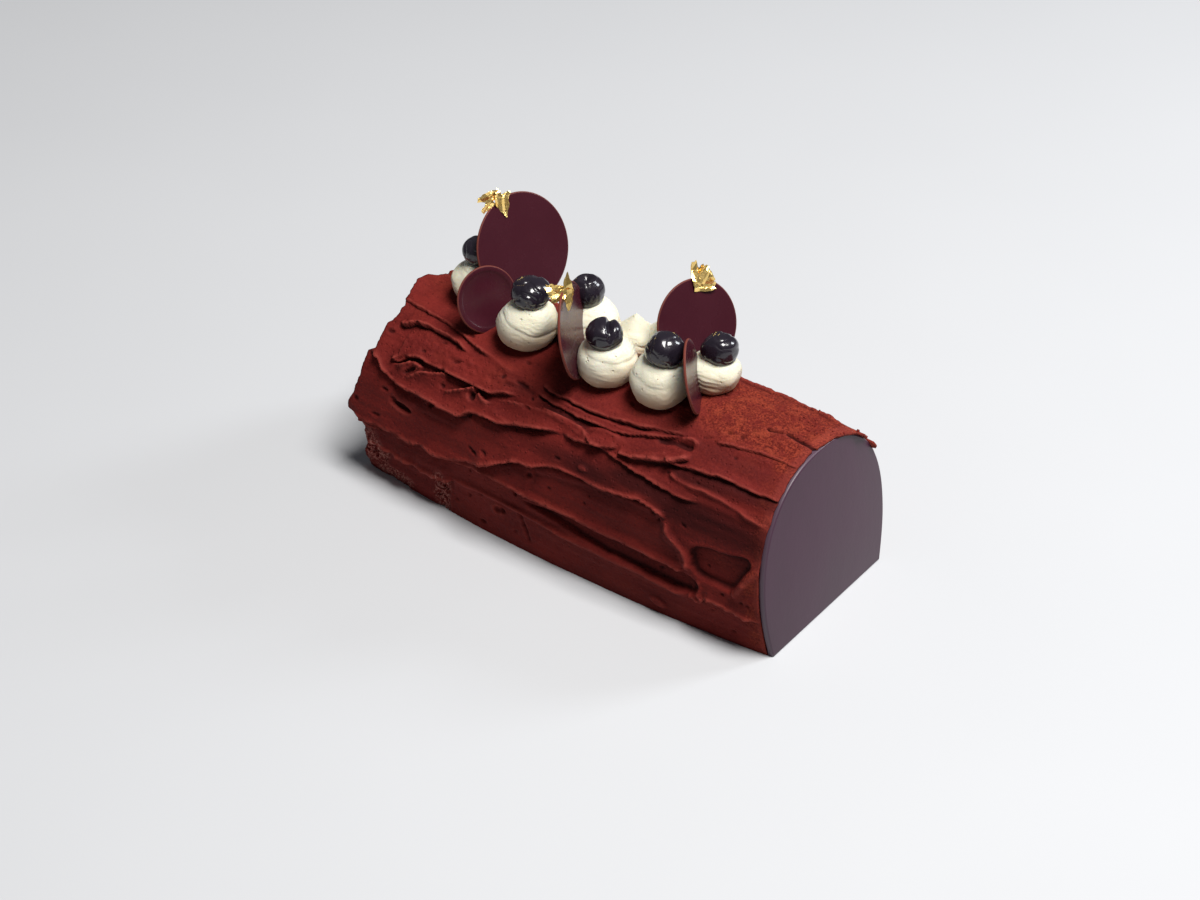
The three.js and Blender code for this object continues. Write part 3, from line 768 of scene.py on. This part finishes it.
def paint(along, up, from_edge, relief, raised, sharp, dust):
    """What is painted on the coat: painted shade in its hollows, its deep cuts and down its near side,
    painted highlights along its crests and its edge at the front plate, and its cocoa dust.
    """
    narrow, broad = local_mean(sharp, 8), local_mean(sharp, 70)
    # Painted shade down the near side, darkest in a band just below the lip that runs along it.
    painted_side_shade = ease((134 - along) / 60) * ease((65 - up) / 8) * (0.6 - 0.26 * ease((53 - up) / 5))
    painted_side_shade *= 1 - 0.5 * ease((50 - along) / 20)
    # Painted shade in the hollows, where the relief lies below what is around it, added to the painted
    # shade of the near side and of the deep cuts.
    hollow = (narrow - sharp) / 1.2 + 0.3 * (broad - sharp) / 1.6 + painted_side_shade + relief.painted_shade
    # Painted highlights along the raised crests of the strokes, and along the coat's edge at the front
    # plate.
    crest = np.clip((raised - local_mean(raised, 6) - 0.06) / 0.7, 0, 1)
    crest = np.maximum(crest, 0.5 * ease((2.5 - from_edge) / 2))
    rim = ease((10 - from_edge) / 8) * (0.8 + 0.6 * mottle(along, up, (3, 3), 9))
    dust = np.clip(dust + 0.8 * np.clip(rim, 0, 1), 0, 1)
    return {"hollow": np.clip(hollow, 0, 1), "crest": crest, "dust": dust}


def coat_shape():
    """The coat with its relief, as rows of points, and what is painted on them."""
    along, across, height, up, normal = coat_surface()
    relief, raised, sharp, dust, rough = knife_work(along, up)
    grounded = ease(height / GROUNDED)
    near_edge = PLATE_GAP + height * PLATE_LEAN
    out = np.where(relief.height > 0, relief.height * grounded, relief.height)
    out = out * (HUG + (1 - HUG) * ease((along - near_edge) / HUG_LENGTH)) - FOOT_TUCK * (1 - grounded)
    deeper = OPEN_DEPTH * (1 - ease((along - FAR_WALL) / OPEN_DEPTH + 1))
    out = np.maximum(out, -COVER_OVER_PLATE - deeper)
    drag = relief.slide * grounded
    moved_across = across + normal[..., 0] * out + normal[..., 1] * drag
    widest = half_span("log").y + STANDS_PROUD
    moved_across = np.clip(moved_across, -widest, widest)
    moved_height = np.maximum(height + normal[..., 1] * out - normal[..., 0] * drag, 0)
    back_foot = FRONT_COLUMNS + BACK_COLUMNS
    moved_height[:, [0, back_foot]] = 0
    home = np.linspace(0, 1, BASE_COLUMNS + 1)
    home[[1, -2]] = WALL_FOOT, 1 - WALL_FOOT
    for rows in (along, moved_across, moved_height):
        rows[:, back_foot:] = rows[:, [back_foot]] * (1 - home) + rows[:, [0]] * home
    under = along[:, back_foot + 1 : -1]  # between the feet the base ends at the far wall
    under[:] = under[0] + (FAR_WALL - under[0]) * np.linspace(0, 1, len(under))[:, None]
    painted = paint(along, up, along - near_edge, relief, raised, sharp, dust)
    return along, moved_across, moved_height, {**painted, "crust": rough}


def build_coat(finish):
    along, across, height, painted = coat_shape()
    rows, columns = along.shape
    bm = bmesh.new()
    bmesh.ops.create_grid(bm, x_segments=rows - 1, y_segments=columns - 1, size=1)
    layers = {name: bm.verts.layers.float.new(name) for name in painted}
    for vert in bm.verts:
        row = round((vert.co.x + 1) / 2 * (rows - 1))
        column = round((vert.co.y + 1) / 2 * (columns - 1))
        vert.co = place(along[row, column], across[row, column], height[row, column])
        for name, layer in layers.items():
            vert[layer] = painted[name][row, column]
    bmesh.ops.remove_doubles(bm, verts=[v for v in bm.verts if v.co.z < ON_BASE], dist=SAME_POINT)
    close_end(bm, near_rim)
    close_end(bm, far_rim)
    face_outwards(bm)
    return make_piece("mousse_coat", bm, finish, "log")


def towards_core(point, inset):
    """A point of an end ring moved inwards, with its foot kept on the base."""
    core = place(0, 0, CORE_HEIGHT)
    inwards = Vector((0, core.y - point.y, core.z - point.z)).normalized() * inset
    inwards.z = max(inwards.z, -point.z)
    if point.z < ON_BASE:
        return point + Vector((0, inwards.y, 0))
    return point + inwards * min(1, 0.15 + point.z / 10)


def near_rim(step, point):
    """The ring of the near edge: turned in under the lap, then along the back of the plate."""
    if step == 0:
        return towards_core(point, LAP_THICKNESS)
    if step == 1:
        return Vector((place(PLATE_GAP + point.z * PLATE_LEAN, 0, 0).x, point.y, point.z))
    return place(PLATE_GAP + CORE_HEIGHT * PLATE_LEAN, 0, CORE_HEIGHT)


def far_rim(step, point):
    """The ring of the far end: a torn edge, a wall down to the far plate and the cake behind it."""
    wall = place(FAR_WALL, 0, 0).x
    if step < 3 and abs(point.x - wall) < 0.1:  # the base ends at the wall already
        return point + Vector((0, 0, WALL_STEP))
    if step == 0:
        torn = 0.5 + 0.5 * noise.noise(point * 0.5)
        return towards_core(point, RIM_THICKNESS + 0.5 * torn) + Vector((0.3 + 0.5 * torn, 0, 0))
    if step == 1:
        return towards_core(point, RIM_THICKNESS) + Vector((0.8 + noise.noise(point * 0.7), 0, 0))
    if step == 2:
        return Vector((wall, point.y, point.z))
    return place(FAR_WALL, 0, CORE_HEIGHT)


def close_end(bm, rim):
    """Carries an open end of the coat inwards, ring by ring, to one point."""
    sign, steps = (1, 3) if rim is near_rim else (-1, 4)
    centre = place(LOG_LENGTH / 2, 0, 0).x
    edges = [e for e in bm.edges if e.is_boundary and (e.verts[0].co.x - centre) * sign > 0]
    for step in range(steps):
        made = bmesh.ops.extrude_edge_only(bm, edges=edges)["geom"]
        verts = [part for part in made if isinstance(part, bmesh.types.BMVert)]
        edges = [part for part in made if isinstance(part, bmesh.types.BMEdge) and part.is_boundary]
        for vert in verts:
            vert.co = rim(step, vert.co.copy())
    bmesh.ops.remove_doubles(bm, verts=verts, dist=SAME_POINT)


# ------------ the plates on the ends

PLATE_FOOT, PLATE_BULGE, PLATE_HEIGHT, PLATE_THICKNESS = 41, 45, 79, 3
PLATE_EDGE = 0.9
PLATE_STEPS = 60


def build_plate(name, node, finish, scale, lean, face):
    """An arched plate cut from tempered chocolate, standing on its straight base."""
    outline = zip(*arch(PLATE_STEPS, PLATE_FOOT, PLATE_BULGE, PLATE_HEIGHT))
    bm = bmesh.new()
    verts = [bm.verts.new((0, across * scale, height * scale)) for across, height in outline]
    front = bm.faces.new(verts)
    made = bmesh.ops.extrude_face_region(bm, geom=[front])["geom"]
    back = [part for part in made if isinstance(part, bmesh.types.BMVert)]
    bmesh.ops.translate(bm, verts=back, vec=(-PLATE_THICKNESS, 0, 0))
    face_outwards(bm)
    rims = [e for e in bm.edges if abs(e.verts[0].co.x - e.verts[1].co.x) < 0.1]
    bmesh.ops.bevel(
        bm, geom=rims, offset=PLATE_EDGE, segments=4, affect="EDGES", profile=0.5, material=-1)
    origin = place(face, 0, 0)
    # The rim value carries a painted highlight along the bevelled edge.
    rim = bm.verts.layers.float.new("rim")
    for vert in bm.verts:
        vert[rim] = float(ease(-vert.co.x / (0.6 * PLATE_EDGE)))
        vert.co = origin + vert.co - Vector((vert.co.z * lean, 0, 0))
    return make_piece(name, bm, finish, node)


# ------------ cream kisses

# The shares of a kiss's radius and of its height, from its foot to its tip.
KISS_PROFILE = [
    (0, -0.02), (0.45, -0.01), (0.7, 0.03), (0.91, 0.17), (1, 0.39), (0.93, 0.62), (0.7, 0.82),
    (0.36, 0.955), (0, 1.0),
]
KISS_SINK = 0.9
KISS_SIDES, KISS_STACKS = 132, 92
CREASE_WIDTH = 0.8
STREAK_PITCH, STREAK_DEPTH = 1.9, 0.42  # of the fine ridges that the piping leaves
WOBBLE = 0.75
POINT_WIDTH = 0.62  # of the drawn-up point, as a share of the radius

# Where each kiss stands (along, across), its radius, height, the lean of its tip, the height of its
# drawn-up point, and its piping: turns to its height, where the crease starts round it, and its depth.
KISSES = {
    "kiss_1": (191.7, 5.5, 13, 20, (0, -1), 0, 1.5, 0.2, 0.8),
    "kiss_2": (153.5, -8.7, 13.4, 21, (1, 0), 0, 1.45, 0.35, 1.1),
    "kiss_3": (131, 4.5, 14, 22, (0, 0), 0, 1.8, 0.1, 0.9),
    "kiss_4": (108.3, -11.3, 13, 20, (0, 0), 0, 2.4, 0.45, 0.8),
    "kiss_5": (110.5, 8.5, 11, 15, (1, 0), 4.8, 2.0, 0.9, 0.9),
    "kiss_6": (81, -11, 12.8, 21, (-1, 2), 0, 2.7, 0.6, 0.6),
    "kiss_7": (68, 7.5, 11.7, 17, (1, 0), 0, 2.2, 0.3, 0.6),
    "kiss_8": (97.3, 15.6, 11.5, 17, (0, 0), 3.5, 2.0, 0.5, 0.9),
}


def build_kiss(name, finish, seed):
    """A kiss of piped cream: a round body with the crease of its piping winding up it."""
    along, across, radius, height, lean, peak, turns, phase, depth = KISSES[name]
    profile = curve_through([np.array(point, float) for point in KISS_PROFILE], steps=8)
    walked = np.concatenate(([0], np.cumsum(np.hypot(*np.diff(profile, axis=0).T))))
    walked /= walked[-1]
    slope = (crest_height(along, across + 2) - crest_height(along, across - 2)) / 4
    foot = place(along, across, crest_height(along, across) - KISS_SINK)
    tilt = Matrix.Rotation(math.atan(slope) * 0.6, 3, "X")
    bm = bmesh.new()
    bmesh.ops.create_uvsphere(bm, u_segments=KISS_SIDES, v_segments=KISS_STACKS, radius=1)
    # How low each point sits; the cream finish paints shade towards the bottom with it.
    low = bm.verts.layers.float.new("low")
    for vert in bm.verts:
        share = math.acos(max(-1, min(1, -vert.co.z))) / math.pi
        out = float(np.interp(share, walked, profile[:, 0])) * radius
        up = float(np.interp(share, walked, profile[:, 1]))
        vert[low] = 1 - up
        round_it = math.atan2(vert.co.y, vert.co.x) if out > 1e-3 else 0
        sway = 0.3 * noise.noise(vert.co * 0.8 + Vector((0, 0, seed)))
        winding = (turns * up + round_it / math.tau + phase + sway) % 1
        near_crease = min(winding, 1 - winding) * height / turns
        upper = float(ease((up - 0.2) / 0.3) * ease((out / radius - 0.15) / 0.3))
        patchy = noise.noise(Vector((vert.co.x, vert.co.y, seed)))
        upper *= 0.45 + 0.55 * float(ease(0.5 + patchy * 1.6))
        crease = math.exp(-((near_crease / CREASE_WIDTH) ** 1.3))
        swell = math.sin(math.pi * winding**0.8) - 0.6
        place_on = Vector((vert.co.x, vert.co.y, vert.co.z * 1.4))
        wobble = noise.noise(place_on * 1.7 + Vector((seed, 0, 0)))
        streaky = max(0, noise.noise(place_on * 1.3 + Vector((0, seed, 0))) + 0.25)
        waves = winding * height / turns / STREAK_PITCH + 1.2 * wobble
        streaks = streaky * abs(math.sin(math.pi * waves))
        uneven = (WOBBLE * wobble + STREAK_DEPTH * streaks) * min(1, out / 4)
        out += upper * depth * (0.55 * swell - 0.6 * crease) + uneven
        drawn = peak * max(0, 1 - out / (POINT_WIDTH * radius)) ** 1.3
        point = Vector((
            out * math.cos(round_it) + lean[0] * up * up, out * math.sin(round_it) + lean[1] * up * up,
            up * height + drawn))
        vert.co = foot + tilt @ point
    face_outwards(bm)
    return make_piece("cream_" + name, bm, finish, name)


# ------------ cherries

# How wrinkled each cherry is, how deep its stem dimple, how deep the cleft over its top, and how
# square its outline. The cleft runs along CLEFT_WAY, beside the middle by CLEFT_SIDE of the radius.
CHERRIES = {
    "cherry_1": (0.5, 0.10, 0.0, 0.02),
    "cherry_2": (0.75, 0.0, 0.03, 0.07),
    "cherry_3": (0.3, 0.22, 0.0, 0.06),
    "cherry_4": (0.25, 0.0, 0.32, 0.02),
    "cherry_5": (0.4, 0.04, 0.0, 0.02),
    "cherry_6": (0.35, 0.0, 0.03, 0.02),
}
CLEFT_WAY = math.radians(-53)
CLEFT_SIDE, CLEFT_WIDTH = 0.3, 0.16
STEM_WIDTH = 0.05
SHOULDER_PLACE, SHOULDER_WIDTH, SHOULDER = 0.12, 0.07, 0.25
FOLD_WIDTH = 0.14


def build_cherry(name, finish, seed):
    """A preserved cherry: a ball with a stem dimple, slack wrinkled skin and sometimes a cleft."""
    wrinkles, dimple, cleft, squareness = CHERRIES[name]
    beside = Vector((-math.sin(CLEFT_WAY), math.cos(CLEFT_WAY), 0))
    centre, size = middle(name), half_span(name)
    bm = bmesh.new()
    bmesh.ops.create_icosphere(bm, subdivisions=6, radius=1)
    shift = Vector((seed * 3.1, seed * 1.7, 0))
    for vert in bm.verts:
        way = vert.co.normalized()
        stem = math.exp(-((1 - way.z) / STEM_WIDTH))
        shoulder = math.exp(-(((1 - way.z) - SHOULDER_PLACE) / SHOULDER_WIDTH) ** 2)
        split = math.exp(-(((way.dot(beside) - CLEFT_SIDE) / CLEFT_WIDTH) ** 2)) * max(0, way.z + 0.05)
        fold, fine = (
            math.exp(-((noise.noise(way * pitch + shift) / FOLD_WIDTH) ** 2)) for pitch in (1.3, 3.0))
        slack = wrinkles * (0.08 * fold + 0.025 * fine * (0.5 + noise.noise(way * 1.1 - shift)))
        belly = 0.08 * noise.noise(way * 1.1 + shift)
        out = 1.0 + belly - dimple * stem + SHOULDER * dimple * shoulder - cleft * split - slack
        out += squareness * (1 - 2 * (way.x**4 + way.y**4 + way.z**4))
        vert.co = Vector((way.x * size.x, way.y * size.y, way.z * size.z)) * out
    for axis in range(3):
        low, high = (side(vert.co[axis] for vert in bm.verts) for side in (min, max))
        for vert in bm.verts:
            vert.co[axis] = centre[axis] + size[axis] * (2 * (vert.co[axis] - low) / (high - low) - 1)
    return make_piece("syrup_" + name, bm, finish, name)


# ------------ chocolate discs

# Radius, turn towards the back side and lean back in degrees, and how far the face is dished.
DISCS = {
    "disc_1": (25, -10, 23, 0.0),
    "disc_2": (14.8, -18, 22, 0.75),
    "disc_3": (20.9, 25.5, 11.5, 0.0),
    "disc_4": (20, -18, 24, 0.0),
    "disc_5": (15.8, 30.5, 12.5, 0.0),
}
DISC_THICKNESS = 1.2
DISC_SIDES = 120
DISH_SHARE = 0.8  # of the radius
# The section of the rim, from the back: how far inside the radius, and the share of half the thickness.
DISC_RIM = [(0.7, -1), (0.25, -0.75), (0, -0.1), (0.05, 0.55), (0.3, 1), (0.7, 1), (1.2, 1)]
SNAPPED = 0.42  # the breadth of the paler rim


def disc_stance(node):
    """Turns a disc's own frame, whose face looks along +X, to where the disc stands."""
    _, turn, lean, _ = DISCS[node]
    turned = Matrix.Rotation(math.radians(turn), 4, "Z") @ Matrix.Rotation(-math.radians(lean), 4, "Y")
    return Matrix.Translation(middle(node)) @ turned


def build_disc(node, finish):
    """A thin disc, spun about its axis."""
    radius, _, _, dish = DISCS[node]
    half = DISC_THICKNESS / 2
    inner = DISH_SHARE * radius
    profile = [
        (0, -half), *((radius - inset, half * share) for inset, share in DISC_RIM),
        (inner + 1.1, half), (inner + 0.5, half - dish * 0.35), (inner - 0.4, half - dish),
        (inner * 0.55, half - dish * 0.8), (0, half - dish * 0.7),
    ]
    bm = bmesh.new()
    verts = [bm.verts.new((x, 0, r)) for r, x in profile]
    edges = [bm.edges.new(pair) for pair in zip(verts, verts[1:])]
    bmesh.ops.spin(
        bm, geom=verts + edges, cent=(0, 0, 0), axis=(1, 0, 0), angle=math.tau, steps=DISC_SIDES,
        use_merge=True)
    bmesh.ops.remove_doubles(bm, verts=bm.verts, dist=SAME_POINT)
    face_outwards(bm)
    # The rim value marks the snapped edge, which is matte and gets a painted highlight.
    rim = bm.verts.layers.float.new("rim")
    for vert in bm.verts:
        reach = math.hypot(vert.co.y, vert.co.z)
        vert[rim] = float(ease((reach - radius + SNAPPED) / 0.2))
        vert.co.x += 0.25 * noise.noise(vert.co * 0.07)
    bmesh.ops.transform(bm, matrix=disc_stance(node), verts=bm.verts)
    return make_piece("chocolate_" + node, bm, finish, node)


# ------------ gold leaf

# Each scrap's disc, its place round the rim in degrees, how far beyond the rim it is, and its flaps.
# Each flap is in its disc's own frame (out of its face, across, up) and from the scrap's place: where
# it is held, where its free end is, which way it is wide, and its width at the held end, half-way and
# at the free end.
SCRAPS = {
    "leaf_1": ("disc_1", -9, 0, [
        ((1.4, -1.0, 2.8), (1.0, -12.5, 3.2), (0.2, 0.2, 1), (3.4, 4.6, 1.4)),
        ((1.2, -1.0, 1.6), (1.3, -0.3, -8.4), (0, 1, 0.1), (8.4, 6.0, 0.8)),
        ((0.6, -4.6, 0.2), (-0.4, -11.6, -2.4), (0.2, 0.1, 1), (2.2, 3.4, 2.0)),
        ((1.2, -2.0, 1.0), (0.6, -0.8, 4.8), (0, 1, 0), (4.4, 2.6, 0.5)),
        ((1.4, -0.4, -1.0), (1.2, 4.4, 1.8), (0, 0.4, 1), (4.0, 3.4, 1.0)),
    ]),
    "leaf_2": ("disc_3", -14, 0, [
        ((2.0, 3.2, 0.8), (-4.6, -2.4, 2.6), (-0.3, 0.3, 1), (3.0, 5.6, 8.0)),
        ((2.4, 3.0, 0.0), (3.2, 5.0, 7.8), (1, 0.2, 0), (4.6, 3.4, 0.6)),
        ((2.6, 2.4, 1.2), (2.2, -0.8, -7.0), (1, 0.2, 0), (4.6, 3.6, 1.0)),
        ((1.2, 2.4, 0.0), (-3.4, -1.2, -2.0), (-0.3, 0.3, 1), (4.0, 3.4, 2.0)),
    ]),
    "leaf_3": ("disc_4", 25, 1.5, [
        ((0.9, -5.2, -3.4), (0.5, -3.6, 6.8), (0, 1, 0.2), (3.8, 5.0, 2.6)),
        ((1.7, -3.6, -2.6), (1.9, 1.4, 3.6), (0, -0.8, 1), (3.4, 4.2, 2.0)),
        ((0.9, 2.0, -4.0), (0.7, 0.2, 3.6), (0, 1, 0.3), (4.4, 4.6, 3.0)),
        ((0.3, -1.8, -4.0), (0.1, -1.8, 4.4), (0, 1, 0.1), (8.6, 7.6, 4.6)),
        ((1.5, -7.0, -3.6), (1.5, 3.4, -5.6), (0, 0.2, 1), (3.0, 4.0, 3.2)),
    ]),
}
FOIL_THICKNESS = 0.12
FOIL_LENGTH_STEPS, FOIL_WIDTH_STEPS = 22, 12


def crumple(length, over, seed):
    """How far crumpled foil stands off its plane: pleats along it, and sharp folds across them."""
    height = (abs((over / 1.9 + 0.08 * length) % 2 - 1) - 0.5) * 0.7
    for fold, (pitch, depth) in enumerate(((5.2, 1.0), (3.1, 0.55))):
        angle = seed * 1.3 + fold * 1.9
        walk = length * math.cos(angle) + over * math.sin(angle) + seed * 0.7 + fold
        height += (abs((walk / pitch) % 2 - 1) - 0.5) * depth
    return height


def add_flap(bm, held, free, wide, widths, seed):
    """A crumpled flap of foil from one place to another."""
    start, reach = Vector(held), Vector(free) - Vector(held)
    ahead = reach.normalized()
    face = ahead.cross(Vector(wide)).normalized()
    side = face.cross(ahead)
    bmesh.ops.create_grid(bm, x_segments=FOIL_LENGTH_STEPS, y_segments=FOIL_WIDTH_STEPS, size=1)
    for vert in bm.verts:
        share, over = (vert.co.x + 1) / 2, vert.co.y
        width = float(np.interp(share, (0, 0.5, 1), widths))
        torn = 0.3 * noise.noise(Vector((share * 5, seed * 3.0, over)))
        over *= 0.5 * width * (1 + torn)
        length = reach.length * share * (1 + 0.16 * noise.noise(Vector((over * 0.8, seed * 5.0, 0))))
        vert.co = start + ahead * length + side * over + face * crumple(length, over, seed)
    bmesh.ops.solidify(bm, geom=bm.faces[:], thickness=FOIL_THICKNESS)
    face_outwards(bm)
    if bm.calc_volume(signed=True) < 0:
        bmesh.ops.reverse_faces(bm, faces=bm.faces)


def build_scrap(node, finish, seed):
    disc, turn, out, flaps = SCRAPS[node]
    angle = math.radians(turn)
    rim = (DISCS[disc][0] + out) * Vector((0, math.sin(angle), math.cos(angle)))
    bm = bmesh.new()
    for number, shape in enumerate(flaps):
        flap = bmesh.new()
        add_flap(flap, *shape, seed + number * 1.7)
        mesh = to_mesh("flap", flap)
        bm.from_mesh(mesh)
        bpy.data.meshes.remove(mesh)
    bmesh.ops.transform(bm, matrix=disc_stance(disc) @ Matrix.Translation(rim), verts=bm.verts)
    return make_piece("gold_" + node, bm, finish, node, smooth=False)


# ------------ crumbs

# Crumbs of mousse and cocoa: a middle (along, up round the coat), its spread, how many, and their size.
CRUMB_DRIFTS = [
    ((20, 118), (14, 14), 46, 0.45),
    ((6, 124), (2.5, 9), 26, 0.8),
    ((1, 141), (1, 3), 5, 1.3),
    ((0.5, 151), (0.5, 1), 3, 2.0),
    ((216, 14), (5, 6), 40, 0.7),
    ((174, 6), (3, 5), 20, 0.6),
    ((150, 74), (30, 3), 26, 0.4),
    ((120, 100), (70, 60), 60, 0.35),
]


def coat_point(along, up):
    """A point of the plain coat, with the way out of it."""
    y, z, walked = coat_outline(along, CRUMB_STEPS)
    (here_y, ahead_y), (here_z, ahead_z) = (np.interp((up, up + 0.5), walked, line) for line in (y, z))
    out = Vector((0, here_z - ahead_z, ahead_y - here_y)).normalized()
    return place(along, here_y, here_z), out


def build_crumbs(coat, finish):
    """Loose crumbs that lie on the coat."""
    draw = random.Random(11)
    bm = bmesh.new()
    for (along, up), (spread, climb), count, size in CRUMB_DRIFTS:
        for _ in range(count):
            point, out = coat_point(max(1, draw.gauss(along, spread / 2)), draw.gauss(up, climb / 2))
            hit, where, _, _ = coat.ray_cast((point + out * 12) * MM, -out, distance=0.03)
            radius = size * draw.uniform(0.4, 1.15)
            shift = Vector((draw.random(), draw.random(), draw.random())) * 20
            if not hit:
                continue
            made = bmesh.ops.create_icosphere(bm, subdivisions=1, radius=radius)["verts"]
            for vert in made:
                vert.co *= 1 + 0.55 * noise.noise(vert.co * 1.6 + shift)
                vert.co += where / MM + out * radius * 0.25
                vert.co.z = max(vert.co.z, 0)
    return make_piece("mousse_crumbs", bm, finish)


# ------------ the room

FLOOR_HALF_WIDTH = 6  # metres, like every length of the room


def aim(thing, position, target):
    thing.location = position
    thing.rotation_euler = (Vector(target) - Vector(position)).to_track_quat("-Z", "Y").to_euler()


def soft_light(name, position, target, size, power, colour):
    lamp = bpy.data.lights.new(name, "AREA")
    lamp.shape = "RECTANGLE"
    lamp.size, lamp.size_y = size
    lamp.energy = power
    lamp.color = colour
    aim(add_object(name, lamp), position, target)


def build_room():
    pale = Finish("pale_floor", Roughness=0.7)
    colour = pale.mixed((0.47, 0.48, 0.5), (pale.grain(3, detail=3), (0.51, 0.52, 0.54)))
    bm = bmesh.new()
    bmesh.ops.create_grid(bm, x_segments=1, y_segments=1, size=FLOOR_HALF_WIDTH)
    floor = add_object("floor", to_mesh("floor", bm))
    floor.data.materials.append(pale.set(Base_Color=colour))
    soft_light("key_light", (0.65, 0.02, 1.92), (0, 0, 0.05), (0.85, 0.85), 66, (1.0, 0.98, 0.95))
    soft_light("side_window", (0.78, 1.14, 0.84), (0, 0, 0.1), (0.32, 0.5), 9, (0.92, 0.96, 1.0))
    world = bpy.data.worlds.new("room")
    bpy.context.scene.world = world
    world.use_nodes = True
    background = world.node_tree.nodes["Background"]
    background.inputs["Color"].default_value = (0.72, 0.74, 0.8, 1)
    background.inputs["Strength"].default_value = 0.12
    bpy.context.scene.view_settings.view_transform = "Standard"


def build_camera():
    lens = bpy.data.cameras.new("camera")
    lens.lens, lens.sensor_width = 72, 36
    camera = add_object("camera", lens)
    aim(camera, place(-398.9, -679.1, 648.5) * MM, place(111.7, -12.6, 40) * MM)
    bpy.context.scene.camera = camera


# ------------ the cake

build_camera()
build_room()

mousse = mousse_finish()
plate_chocolate = plate_finish()
disc_chocolate = disc_finish()
cream = cream_finish()
cherry_skin = cherry_finish()
gold = gold_finish()

coat = build_coat(mousse)
build_crumbs(coat, mousse)
build_plate("front_plate", "end_plate_front", plate_chocolate, 1, PLATE_LEAN, 0)
build_plate("far_plate", "end_plate_far", plate_chocolate, FAR_PLATE_SCALE, 0, FAR_PLATE_FACE)
for number, name in enumerate(KISSES):
    build_kiss(name, cream, number * 4.3)
for number, name in enumerate(CHERRIES):
    build_cherry(name, cherry_skin, number + 1)
for name in DISCS:
    build_disc(name, disc_chocolate)
for number, name in enumerate(SCRAPS):
    build_scrap(name, gold, number * 2.3 + 0.4)
